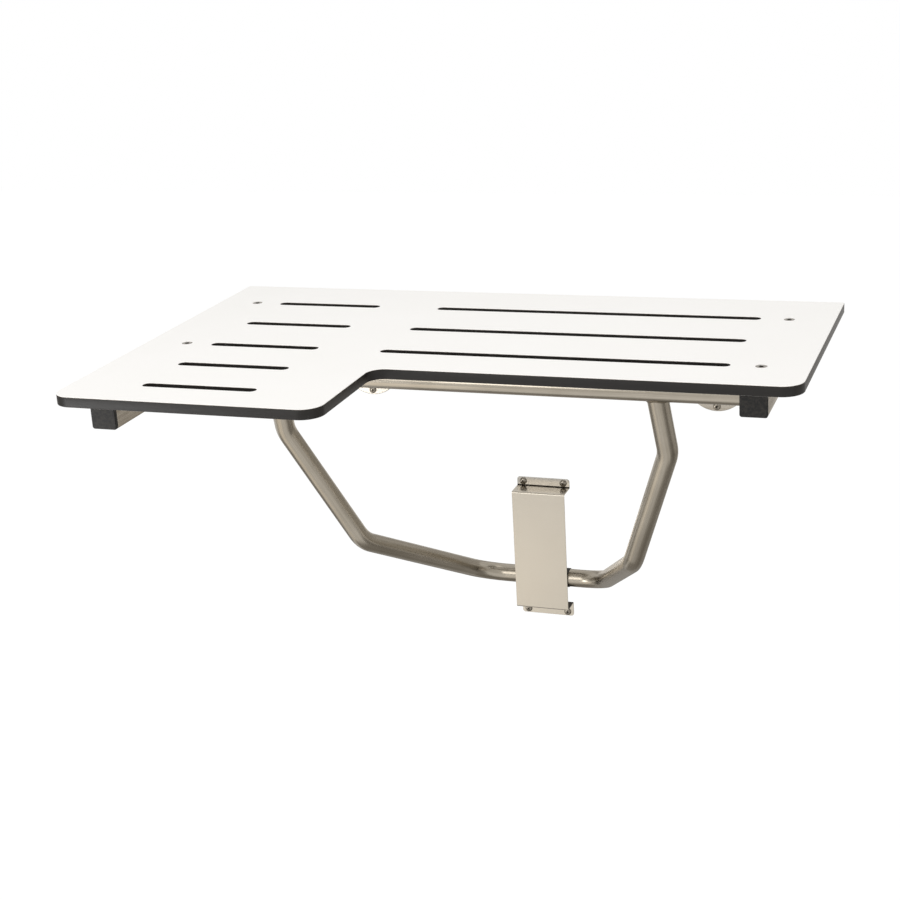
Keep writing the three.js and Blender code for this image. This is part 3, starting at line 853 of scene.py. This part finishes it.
def tube_skin(mesh, straight, path, radius, cope_radius):
    """One skin of the bent tube. Returns its first and last ring."""
    travelled = 0.0
    rings = []
    for i, (point, (tangent, across, other)) in enumerate(zip(path, leg_frames)):
        travelled += (point - path[i - 1]).length if i else 0.0
        ring = []
        for angle in angles_round(RING_SIDES):
            place = point_round(point, radius, angle, across, other)
            if i == 0:
                place = meets_cross_tube(place, tangent, cope_radius)
            if i == len(path) - 1:
                place = meets_cross_tube(place, -tangent, cope_radius)
            vertex = mesh.verts.new(place)
            vertex[straight] = (radius * math.cos(angle), radius * math.sin(angle), travelled)
            ring.append(vertex)
        rings.append(ring)
    for first, second in zip(rings, rings[1:]):
        band(mesh, first, second)
    return rings[0], rings[-1]


leg = bmesh.new()
straight_layer = leg.verts.layers.float_vector.new("straight")
cope = TUBE_RADIUS - COPE_BITE
outer_ends = tube_skin(leg, straight_layer, leg_path, TUBE_RADIUS, cope)
inner_ends = tube_skin(leg, straight_layer, leg_path, TUBE_RADIUS - TUBE_WALL, cope)
for outer, inner in zip(outer_ends, inner_ends):
    band(leg, outer, inner)
dress("leg_tube", leg, steel_bent)

# %% [markdown]
# ## Welds
#
# Each end of the leg is welded all round to the cross tube. The bead follows the saddle where the two
# tubes meet, and its fine ripples are the frozen puddles of the weld. It could be a bump in the steel's
# finish, but a bead stands out at the tube's edge. So it is a thin closed tube along that saddle, and it
# swells with every puddle.

# %% Welds
WELD_RADIUS = 0.0014
WELD_STATIONS = 144
WELD_SIDES = 10
RIPPLES = 36
RIPPLE_SHARE = 0.14


def saddle_of(point, across, other, away):
    """The closed line where the leg's skin meets the cross tube's."""
    starts = [point_round(point, TUBE_RADIUS, a, across, other) for a in angles_round(WELD_STATIONS)]
    return [meets_cross_tube(start, away, TUBE_RADIUS) for start in starts]


def weld_bead(saddle, away):
    """A rippled tube along a saddle."""
    bead = bmesh.new()
    rings = []
    for k, place in enumerate(saddle):
        travel = (saddle[(k + 1) % WELD_STATIONS] - saddle[k - 1]).normalized()
        outward = travel.cross(away).normalized()
        along = travel.cross(outward)
        swell = WELD_RADIUS * (1 + RIPPLE_SHARE * math.cos(2 * math.pi * RIPPLES * k / WELD_STATIONS))
        ring = [point_round(place, swell, angle, outward, along) for angle in angles_round(WELD_SIDES)]
        rings.append([bead.verts.new(corner) for corner in ring])
    for k, ring in enumerate(rings):
        band(bead, ring, rings[(k + 1) % WELD_STATIONS])
    return bead


for side, end in (("left", -1), ("right", 0)):
    tangent, across, other = leg_frames[end]
    away = -tangent if side == "left" else tangent
    saddle = saddle_of(leg_path[end], across, other, away)
    made_piece(side + "_leg_weld", weld_bead(saddle, away), [weld_steel], "leg")

# %% [markdown]
# ## Wall flanges and hooked arms
#
# A round flange on each side is screwed to the wall, and a hooked arm stands out from it. The hook leaves
# room for the board's rear edge when the seat is folded up. It could be bent from round bar, but an arm
# with a bored eye for the hinge tube is stronger when it is cut from plate. So the plate function makes
# both. The arm's outline is a chain of corners, and its end is closed by the part of the eye's circle
# that the chain's two ends touch.

# %% Flanges
FLANGE_SOFTENING = 0.0010
FLANGE_SIDES = 96
FLANGE_SCREWS = 3
FLANGE_SCREW_CIRCLE = 0.035
WALL_HOLE_RADIUS = 0.0028
WALL_HOLE_SIDES = 32


def wall_flange(side):
    low, high, middle = solid_box(side + "_wall_flange")
    screw_holes = []
    for angle in angles_round(FLANGE_SCREWS):
        u = middle.x + FLANGE_SCREW_CIRCLE * math.cos(angle - math.pi / 2)
        v = middle.z + FLANGE_SCREW_CIRCLE * math.sin(angle - math.pi / 2)
        screw_holes.append(circle(WALL_HOLE_RADIUS, (u, v), WALL_HOLE_SIDES)[::-1])
    disc = circle(middle.x - low.x, (middle.x, middle.z), FLANGE_SIDES)
    node = side + "_wall_flange"
    dress_with_plate(node, plate_steel, disc, screw_holes, low.y, high.y, FLANGE_SOFTENING, along_y)


print("a flange has", FLANGE_SCREWS, "screw holes")

# %% Hooked arms
ARM_CLEARANCE = 0.0035
ARM_ROOT_TOP = 0.008
ARM_ROOT_BOTTOM = 0.028
ARM_WAIST = 0.014
ARM_HEEL_RISE = 0.010
ARM_HEEL_WIDTH = 0.022
ARM_BEND = 0.004
ARM_SOFTENING = 0.0006

_, _, hinge_centre = solid_box("hinge_tube")
eye = Vector((hinge_centre.y, hinge_centre.z))


def hooked_arm(side):
    arm_low, arm_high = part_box(side + "_hinge_arm")
    bush_low, bush_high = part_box(side + "_hinge_bush")
    eye_radius = eye.x - arm_low.y
    bore_radius = (bush_high.z - bush_low.z) / 2 + BORE_CLEARANCE
    web_back = eye.x + (board_low.z - eye.y) - ARM_CLEARANCE
    shelf_top = eye.y + (eye.x - board_high.y) - ARM_CLEARANCE
    shelf_bottom = shelf_top - ARM_WAIST
    back_foot = Vector((web_back, shelf_top + ARM_HEEL_RISE))
    front_foot = Vector((web_back - ARM_HEEL_WIDTH, shelf_bottom + ARM_HEEL_RISE))
    hook = rounded(
        [
            (front_foot.x, front_foot.y, ARM_BEND),
            (web_back, shelf_bottom, ARM_BEND),
            (arm_high.y, -ARM_ROOT_BOTTOM, 0),
            (arm_high.y, ARM_ROOT_TOP, 0),
            (board_high.y, shelf_top, ARM_BEND),
            (web_back, shelf_top, ARM_BEND / 2),
            (back_foot.x, back_foot.y, 0),
        ]
    )
    back_reach = back_foot - eye
    front_reach = front_foot - eye
    start = math.atan2(back_reach.y, back_reach.x) + math.acos(eye_radius / back_reach.length)
    end = math.atan2(front_reach.y, front_reach.x) - math.acos(eye_radius / front_reach.length)
    sweep = (end - start) % (2 * math.pi)
    steps = math.ceil(sweep / ARC_STEP)
    for k in range(steps + 1):
        hook.append(eye + turned_by(Vector((eye_radius, 0.0)), start + sweep * k / steps))
    bore = circle(bore_radius, eye)[::-1]
    thickness = (arm_low.x, arm_high.x)
    dress_with_plate(side + "_hinge_arm", plate_steel, hook, [bore], *thickness, ARM_SOFTENING, along_x)


for side in SIDES:
    wall_flange(side)
    hooked_arm(side)

# %% [markdown]
# ## Guide
#
# The guide is one sheet, cut flat with rounded tabs and four holes, and then folded at four lines into a
# hat. It is made the same way here. The flat blank is a plate, it is sliced across where it will bend,
# and every point is then carried to its place on the folded line. So the holes stay round and the sheet
# keeps its thickness.

# %% Guide sizes
GUIDE_SHEET = 0.0016
GUIDE_BEND = 0.0016
GUIDE_TAB_CORNER = 0.004
GUIDE_TOP_TAB = 0.0125
GUIDE_BOTTOM_TAB = 0.0205
GUIDE_SOFTENING = 0.0003

guide_low, guide_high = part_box("guide_bracket")
half_sheet = GUIDE_SHEET / 2
tab_y = guide_high.y - half_sheet
front_y = guide_low.y + half_sheet
shelf_z = guide_high.z - GUIDE_TOP_TAB - half_sheet
sill_z = guide_low.z + GUIDE_BOTTOM_TAB + half_sheet
fold_line = [
    (tab_y, guide_high.z),
    (tab_y, shelf_z),
    (front_y, shelf_z),
    (front_y, sill_z),
    (tab_y, sill_z),
    (tab_y, guide_low.z),
]
fold_path = bent_path([Vector((0, y, z)) for y, z in fold_line], GUIDE_BEND)
fold_lengths = [0.0]
for a, b in zip(fold_path, fold_path[1:]):
    fold_lengths.append(fold_lengths[-1] + (b - a).length)
blank_length = fold_lengths[-1]
print("the guide's blank is", round(blank_length * 1000), "mm long")

# %% [markdown]
# ### Folded sheet
#
# The sheet is smoother than the tubes, because it came from the mill with its finish and was only folded.
# Its upper tab is painted greyer, as painted shade for the dimmer reflection that it catches over the
# shelf.
# The fold at the upper tab and the inside of the sill behind the front plate are painted dark, as painted
# shade where those corners lie in shadow. The first is found by its distance from the fold's line, and
# the second by its height over the sill.

# %% Finish of the guide
HAIRLINE_STRETCH = (1.0, 1.0, STREAK_LENGTH)
HAIRLINE_DEPTH_MM = 0.0015
SHEET_CLOUD_SCALE = 30.0
SHEET_ROUGHNESS = 0.22
CLOUD_ROUGHNESS = 0.05
PAINTED_SHADE_ROUGHNESS = 0.3
TONE_SHARE = 0.5
FOLD_REACH = 0.0007
FOLD_FADE = 0.0019
SILL_REACH = 0.005


def painted_shade_on(nodes, where):
    """1 where shade is painted: along the upper fold, and on the sill behind the front plate."""
    from_wall = nodes.along(where, 1)
    height = nodes.along(where, 2)
    aside = from_wall - (tab_y - half_sheet)
    above = height - (shelf_z + half_sheet)
    at_fold = 1.0 - (aside * aside + above * above).root().ramp(FOLD_REACH, FOLD_FADE)
    over_sill = height - sill_z
    on_sill = over_sill.ramp(0.0, half_sheet) * (1.0 - over_sill.ramp(SILL_REACH, 2 * SILL_REACH))
    return at_fold.most(on_sill * (from_wall - front_y).ramp(half_sheet, GUIDE_SHEET))


def folded_steel(name):
    material, nodes = new_material(name)
    where = nodes.place_on_piece()
    hairlines = nodes.noise(nodes.stretched(where, HAIRLINE_STRETCH), SCRATCH_SCALE)
    cloudy = nodes.noise(where, SHEET_CLOUD_SCALE, detail=4.0)
    tone = TONE_SHARE * hairlines + TONE_SHARE * cloudy
    plain = nodes.mix(tone, colour(185, 177, 164), colour(190, 183, 170))
    # painted shade: the upper tab above the shelf is painted greyer, for the dimmer reflection it catches
    # over the shelf
    above_shelf = (nodes.along(where, 2) - shelf_z).ramp(half_sheet, GUIDE_SHEET)
    with_tab_shade = nodes.mix(above_shelf, plain, colour(166, 162, 155))
    # painted shade: the upper fold and the sill behind the front plate are painted dark brown, where
    # those corners lie in shadow
    painted_shade = painted_shade_on(nodes, where)
    base = nodes.mix(painted_shade, with_tab_shade, colour(46, 41, 35))
    rough = SHEET_ROUGHNESS + CLOUD_ROUGHNESS * cloudy + PAINTED_SHADE_ROUGHNESS * painted_shade
    finish(name, base, rough, 1.0, hairlines, HAIRLINE_DEPTH_MM)
    return material


guide_steel = folded_steel("guide steel")


# %% Folding
def folded(u, v, w):
    """Carries a point of the flat blank to its place: v runs down the blank, w through the sheet."""
    i = 0
    while i < len(fold_lengths) - 2 and v > fold_lengths[i + 1]:
        i += 1
    share = (v - fold_lengths[i]) / (fold_lengths[i + 1] - fold_lengths[i])
    place = fold_path[i].lerp(fold_path[i + 1], share)
    facing = Vector((0, 0, 0))
    for j, weight in ((i, 1 - share), (i + 1, share)):
        before = fold_path[j] - fold_path[j - 1] if j > 0 else fold_path[1] - fold_path[0]
        after = fold_path[j + 1] - fold_path[j] if j < len(fold_path) - 1 else before
        bend = (before.normalized() + after.normalized()).normalized()
        stretch = 1 / max(bend.dot(before.normalized()), SHARPEST_COSINE)
        facing += Vector((0, bend.z, -bend.y)) * (stretch * weight)
    return Vector((u, place.y, place.z)) + facing * w


print("the blank's middle comes to", tuple(folded(0.0, blank_length / 2, 0.0)))

# %% Guide
guide_screws = [n for n in sorted(frame["nodes"]) if n.startswith("guide_") and n.endswith("_screw")]
blank_holes = []
for node in guide_screws:
    _, _, middle = solid_box(node)
    from_top = guide_high.z - middle.z
    down = from_top if "top" in node else blank_length - (middle.z - guide_low.z)
    blank_holes.append(circle(WALL_HOLE_RADIUS, (middle.x, down), WALL_HOLE_SIDES)[::-1])
width = guide_high.x - guide_low.x
blank_outline = square(width, blank_length, GUIDE_TAB_CORNER, (0.0, blank_length / 2))
guide = bmesh.new()
plate(guide, blank_outline, blank_holes, -half_sheet, half_sheet, GUIDE_SOFTENING, flat)
for length in fold_lengths[1:-1]:
    everything = guide.verts[:] + guide.edges[:] + guide.faces[:]
    bmesh.ops.bisect_plane(guide, geom=everything, plane_co=(0, length, 0), plane_no=(0, 1, 0))
for vertex in guide.verts:
    vertex.co = folded(*vertex.co)
dress("guide_bracket", guide, guide_steel)

# %% [markdown]
# ### Block in the guide
#
# When the seat is down, the foot bar stands on a small moulded block on the guide's sill. It is a plain
# block with rounded corners, so it is a plate as thick as the block is deep.

# %% Block in the guide
BLOCK_CORNER = 0.002
BLOCK_SOFTENING = 0.0006

low, high, middle = solid_box("bar_rest_block")
outline = square(high.x - low.x, high.z - low.z, BLOCK_CORNER, (middle.x, middle.z))
dress_with_plate("bar_rest_block", black_plastic, outline, [], low.y, high.y, BLOCK_SOFTENING, along_y)

# %% [markdown]
# ## Screws
#
# A screw is turned, so its profile is spun round its axis. The recess for the driver is cut afterwards,
# as it is on the real screw, with a Boolean modifier that is applied at once. It could be a dark spot in
# the finish, but the recess also catches light on its rim. The heads of the wall screws are round and
# have a cross recess, and those of the board screws are flat and have a hex socket.

# %% Turning and cutting
TURNED_SIDES = 40
RECESS_SOFTENING = 0.0001
SCREW_FINISHES = (screw_steel, shaded_recess_steel)


def spun(profile):
    """A solid of revolution about Z. The profile's (radius, height) pairs start and end on the axis."""
    mesh = bmesh.new()
    rings = []
    for radius, height in profile[1:-1]:
        rings.append([mesh.verts.new((p.x, p.y, height)) for p in circle(radius, sides=TURNED_SIDES)])
    ends = [mesh.verts.new((0, 0, profile[0][1])), mesh.verts.new((0, 0, profile[-1][1]))]
    for below, above in zip(rings, rings[1:]):
        band(mesh, below, above)
    for end, ring in zip(ends, (rings[0], rings[-1])):
        for i in range(TURNED_SIDES):
            mesh.faces.new((end, ring[i], ring[(i + 1) % TURNED_SIDES]))
    return mesh


def screw_blank(name, mesh):
    """A bmesh as an object for cutting, with the screw's two finishes."""
    bmesh.ops.recalc_face_normals(mesh, faces=mesh.faces)
    return object_from(name, mesh, SCREW_FINISHES)


def with_recess(mesh, cutters):
    """The mesh with its driver's recess cut out, which takes the second finish, the painted shade, as a
    new bmesh.
    """
    body = screw_blank("screw_blank", mesh)
    tools = []
    for cutter in cutters:
        for face in cutter.faces:
            face.material_index = 1
        tool = screw_blank("recess", cutter)
        cut = body.modifiers.new("recess", "BOOLEAN")
        cut.operation = "DIFFERENCE"
        cut.solver = "EXACT"
        cut.object = tool
        tools.append(tool)
    evaluated = body.evaluated_get(bpy.context.evaluated_depsgraph_get())
    made = bmesh.new()
    made.from_mesh(evaluated.to_mesh())
    for thing in [body, *tools]:
        bpy.data.objects.remove(thing)
    return made


print("a screw is turned with", TURNED_SIDES, "sides")

# %% A wall screw
WALL_HEAD_RADIUS = 0.0052
WALL_HEAD_HEIGHT = 0.0026
WALL_SHANK_RADIUS = 0.0024
WALL_POINT = 0.005
POINT_RADIUS = 0.0003
CROWN_RADIUS = 0.0006
DOME_STEPS = 6
DOME_FULLNESS = 0.7
CROSS_WIDTH = 0.0011
CROSS_SPAN = 0.0048
CROSS_DEPTH = 0.0016
CROSS_CORNER = CROSS_WIDTH / 4


def dome(radius, height):
    """The round head of a wall screw, from its rim to its crown."""
    angles = [math.pi / 2 * k / DOME_STEPS for k in range(DOME_STEPS)]
    return [(radius * math.cos(a) ** DOME_FULLNESS, height * math.sin(a)) for a in angles]


def wall_screw(length):
    """A round-headed screw with its head up and a cross recess."""
    shank = length - WALL_HEAD_HEIGHT
    profile = [(0, -shank), (POINT_RADIUS, -shank), (WALL_SHANK_RADIUS, -shank + WALL_POINT)]
    profile += [(WALL_SHANK_RADIUS, 0.0), *dome(WALL_HEAD_RADIUS, WALL_HEAD_HEIGHT)]
    profile += [(CROWN_RADIUS, WALL_HEAD_HEIGHT), (0, WALL_HEAD_HEIGHT)]
    floor, above = WALL_HEAD_HEIGHT - CROSS_DEPTH, 2 * WALL_HEAD_HEIGHT
    cutters = []
    for across, deep in ((CROSS_SPAN, CROSS_WIDTH), (CROSS_WIDTH, CROSS_SPAN)):
        cutter = bmesh.new()
        plate(cutter, square(across, deep, CROSS_CORNER), [], floor, above, RECESS_SOFTENING, flat)
        cutters.append(cutter)
    return with_recess(spun(profile), cutters)


flange_screws = [n for n in sorted(frame["nodes"]) if "flange_screw" in n]
print(len(flange_screws), "screws in the flanges and", len(guide_screws), "in the guide")

# %% [markdown]
# Screws of one length are the same, so each length is made once, and its mesh is copied to every place
# where the measured solids have one. Nobody lines up the recesses of screws, so each one is twisted a
# little further than the one before.

# %% Wall screws
WALL_TWIST = math.radians(37)

patterns = {}
for i, node in enumerate(flange_screws + guide_screws):
    low, high, middle = solid_box(node)
    length_mm = round((high.y - low.y) * 1000)
    if length_mm not in patterns:
        patterns[length_mm] = bpy.data.meshes.new(f"wall_screw_{length_mm}_mm")
        first = wall_screw(high.y - low.y)
        first.to_mesh(patterns[length_mm])
        first.free()
    screw = bmesh.new()
    screw.from_mesh(patterns[length_mm])
    twist = Matrix.Rotation(WALL_TWIST * i, 4, "Z")
    face_room = Matrix.Rotation(math.pi / 2, 4, "X")
    place = Matrix.Translation((middle.x, low.y + WALL_HEAD_HEIGHT, middle.z))
    screw.transform(place @ face_room @ twist)
    dress(node, screw, *SCREW_FINISHES)

# %% Board screws
SOCKET_WIDTH = 0.0054
SOCKET_DEPTH = 0.0026
SOCKET_SIDES = 6
SCREW_RIM = 0.0003
BOARD_TWIST = math.radians(25)


def board_screw(low, high):
    """A countersunk screw with a hex socket, its flat head up, at the height of the solid's box."""
    head_radius = (high.x - low.x) / 2
    length = high.z - low.z
    profile = [
        (0, -length),
        (SCREW_SHANK_RADIUS - SCREW_RIM, -length),
        (SCREW_SHANK_RADIUS, -length + SCREW_RIM),
        (SCREW_SHANK_RADIUS, -SCREW_HEAD_HEIGHT),
        (head_radius - SCREW_RIM / 2, -SCREW_RIM),
        (head_radius, -SCREW_RIM / 2),
        (head_radius - SCREW_RIM, 0),
        (0, 0),
    ]
    cutter = bmesh.new()
    hexagon = circle(SOCKET_WIDTH / math.sqrt(3), sides=SOCKET_SIDES)
    plate(cutter, hexagon, [], -SOCKET_DEPTH, SOCKET_DEPTH, RECESS_SOFTENING, flat)
    return with_recess(spun(profile), [cutter])


for i, node in enumerate(board_screws):
    low, high, middle = solid_box(node)
    screw = board_screw(low, high)
    twist = Matrix.Rotation(BOARD_TWIST * i, 4, "Z")
    screw.transform(Matrix.Translation((middle.x, middle.y, high.z)) @ twist)
    dress(node, screw, *SCREW_FINISHES)

# %% [markdown]
# ## Inner pieces
#
# The nuts, pins, bushes and plugs sit inside the rails and tubes, where little more than an edge of them
# ever shows. Their measured solids already have the right shape, so they stay, and only get their finish.

# %% Inner pieces
INNER_FINISHES = {
    "steel": plate_steel,
    "screw_steel": screw_steel,
    "black_plastic": black_plastic,
    "nylon": nylon,
}

for node, solid in sorted(frame["nodes"].items()):
    if solid.hide_render:
        continue
    solid.data.materials.clear()
    solid.data.materials.append(INNER_FINISHES[slot_of[node]])
    print("kept as measured:", node)

# %% [markdown]
# ## Studio
#
# The photograph is a cut-out on white. A pale floor well below the seat and a white surround give the
# same, and they shine only for the camera, for mirrors and for glass, so that they don't flood the seat
# with light. Part of the floor's shader stays matt, and that part takes the seat's shadow.

# %% Surround and floor
AMBIENT = 0.62
SHINE_SHARE = 0.8
SHINE = 1.12
WHITE = (1.0, 1.0, 1.0, 1.0)
FLOOR_GREY = (0.9, 0.9, 0.9, 1.0)
DIRECT_RAYS = ("Is Camera Ray", "Is Glossy Ray", "Is Transmission Ray")

scene = bpy.context.scene


def seen_directly(nodes):
    """1 where the camera, a mirror or glass looks, and 0 for light that only falls on something."""
    to_camera, to_mirror, to_glass = (nodes.add("ShaderNodeLightPath", output=ray) for ray in DIRECT_RAYS)
    return to_camera.most(to_mirror).most(to_glass)


scene.world = bpy.data.worlds.new("studio")
scene.world.use_nodes = True
surround = Nodes(scene.world.node_tree)
strength = AMBIENT + (1.0 - AMBIENT) * seen_directly(surround)
background = surround.add("ShaderNodeBackground", None, {"Color": WHITE, "Strength": strength})
surround.ends_in(background, "World")

floor_material, pale = new_material("pale floor")
matt = pale.add("ShaderNodeBsdfDiffuse", None, {"Color": FLOOR_GREY})
glow = pale.add("ShaderNodeEmission", None, {"Color": WHITE, "Strength": SHINE})
share = SHINE_SHARE * seen_directly(pale)
pale.ends_in(pale.add("ShaderNodeMixShader", None, {0: share, 1: matt, 2: glow}))
print("the surround lights the seat with", AMBIENT, "of what the camera sees")

# %% A flat sheet of the studio
FLOOR_HEIGHT = -1.1
FLOOR_SIZE = 14.0
UPWARDS = (0, 0, 1)


def stage_sheet(name, width, height, place, facing, material):
    """A flat rectangle that belongs to the studio, turned to face a direction."""
    mesh = bmesh.new()
    for u, v in ((-1, -1), (1, -1), (1, 1), (-1, 1)):
        mesh.verts.new((u * width / 2, v * height / 2, 0))
    mesh.faces.new(mesh.verts[:])
    sheet = object_from(name, mesh, [material])
    sheet.location = place
    sheet.rotation_mode = "QUATERNION"
    sheet.rotation_quaternion = Vector(facing).to_track_quat("Z", "Y")
    return sheet


stage_sheet("floor", FLOOR_SIZE, FLOOR_SIZE, (0, 0, FLOOR_HEIGHT), UPWARDS, floor_material)
print("studio floor at", FLOOR_HEIGHT)

# %% [markdown]
# ## Grey cards
#
# Steel has hardly a colour of its own: it shows what stands around it. In a white room it would look like
# paint, so a product photographer stands grey cards below and beside the product, and each one draws a
# dark band along the tubes. The cards here are seen only by reflections. They cast no shadow and give no
# light to the matt surfaces. Their edges fade out, as the edges of a far card do, so that the bands shade
# off round the tubes. In the table each card has its grey, width, height, fading margin, place and the
# direction that it faces.

# %% Cards
CARDS = [
    ("floor card", 0.37, 2.3, 1.25, 0.35, (0.4, -0.15, -1.05), UPWARDS),
    ("right floor card", 0.30, 1.5, 1.4, 0.25, (1.5, -0.3, -1.045), UPWARDS),
    ("left floor card", 0.32, 0.8, 0.9, 0.15, (-1.2, -0.1, -1.05), UPWARDS),
    ("far floor card", 0.42, 4.2, 1.6, 0.30, (0.3, 1.0, -1.07), UPWARDS),
    ("bright floor card", 1.45, 1.5, 1.6, 0.20, (-1.1, -1.25, -1.04), UPWARDS),
    ("right card", 0.65, 3.0, 1.5, 0.15, (2.3, 0.3, -0.3), (-1, 0, 0)),
    ("left card", 0.42, 2.4, 1.1, 0.15, (-2.2, 0.0, -0.45), (1, 0, 0)),
    ("rear card", 0.52, 3.6, 0.7, 0.15, (0.0, 1.4, 0.05), (0, -1, 0)),
    ("low rear card", 0.90, 2.6, 0.8, 0.05, (-0.5, 1.5, -0.65), (0, -1, 0)),
    ("corner card", 0.42, 1.2, 0.8, 0.05, (1.4, 1.45, -0.65), (0, -1, 0)),
    ("bright strip", 1.60, 0.14, 1.3, 0.03, (2.2, -0.33, -0.4), (-1, 0, 0)),
]
WARMTH = (1.0, 0.96, 0.90)


def card_material(name, grey, width, height, feather):
    """Even light of one grey that fades out towards the card's edges."""
    material, nodes = new_material(name)
    where = nodes.place_on_piece()
    fade = 1.0
    for axis, size in ((0, width), (1, height)):
        inward = size / 2 - nodes.along(where, axis).unsigned()
        fade = inward.ramp(0.0, feather) * fade
    shade = tuple(grey * c for c in WARMTH) + (1.0,)
    light = nodes.add("ShaderNodeEmission", None, {"Color": shade, "Strength": 1.0})
    clear = nodes.add("ShaderNodeBsdfTransparent")
    nodes.ends_in(nodes.add("ShaderNodeMixShader", None, {0: fade, 1: clear, 2: light}))
    return material


for name, grey, width, height, feather, place, facing in CARDS:
    material = card_material(name, grey, width, height, feather)
    card = stage_sheet(name, width, height, place, facing, material)
    card.visible_camera = False
    card.visible_diffuse = False
    card.visible_shadow = False
    print(name, grey)

# %% [markdown]
# ## Lamps
#
# A broad lamp high on the left is the key, and one above keeps the white board even from side to side. A
# lamp at the front stands for the bright band on the round pieces, and a low one on the left lights the
# front edges. Area lamps are used throughout, because a point lamp would draw hard spots on the steel.

# %% Lamps
LAMPS = [
    ("key lamp", 15.0, 1.6, (-1.0, -1.9, 1.9)),
    ("top lamp", 15.5, 2.0, (0.6, -0.5, 2.3)),
    ("front lamp", 11.0, 1.1, (-0.8, -2.7, 0.55)),
    ("low lamp", 12.0, 0.8, (-1.8, -2.3, -0.7)),
]
AIM = Vector((0.0, -0.25, 0.0))
for name, power, size, place in LAMPS:
    lamp_data = bpy.data.lights.new(name, "AREA")
    lamp_data.energy = power
    lamp_data.size = size
    lamp = bpy.data.objects.new(name, lamp_data)
    lamp.location = place
    lamp.rotation_mode = "QUATERNION"
    lamp.rotation_quaternion = (AIM - Vector(place)).to_track_quat("-Z", "Y")
    scene.collection.objects.link(lamp)
    print(name, power, "W")

# %% [markdown]
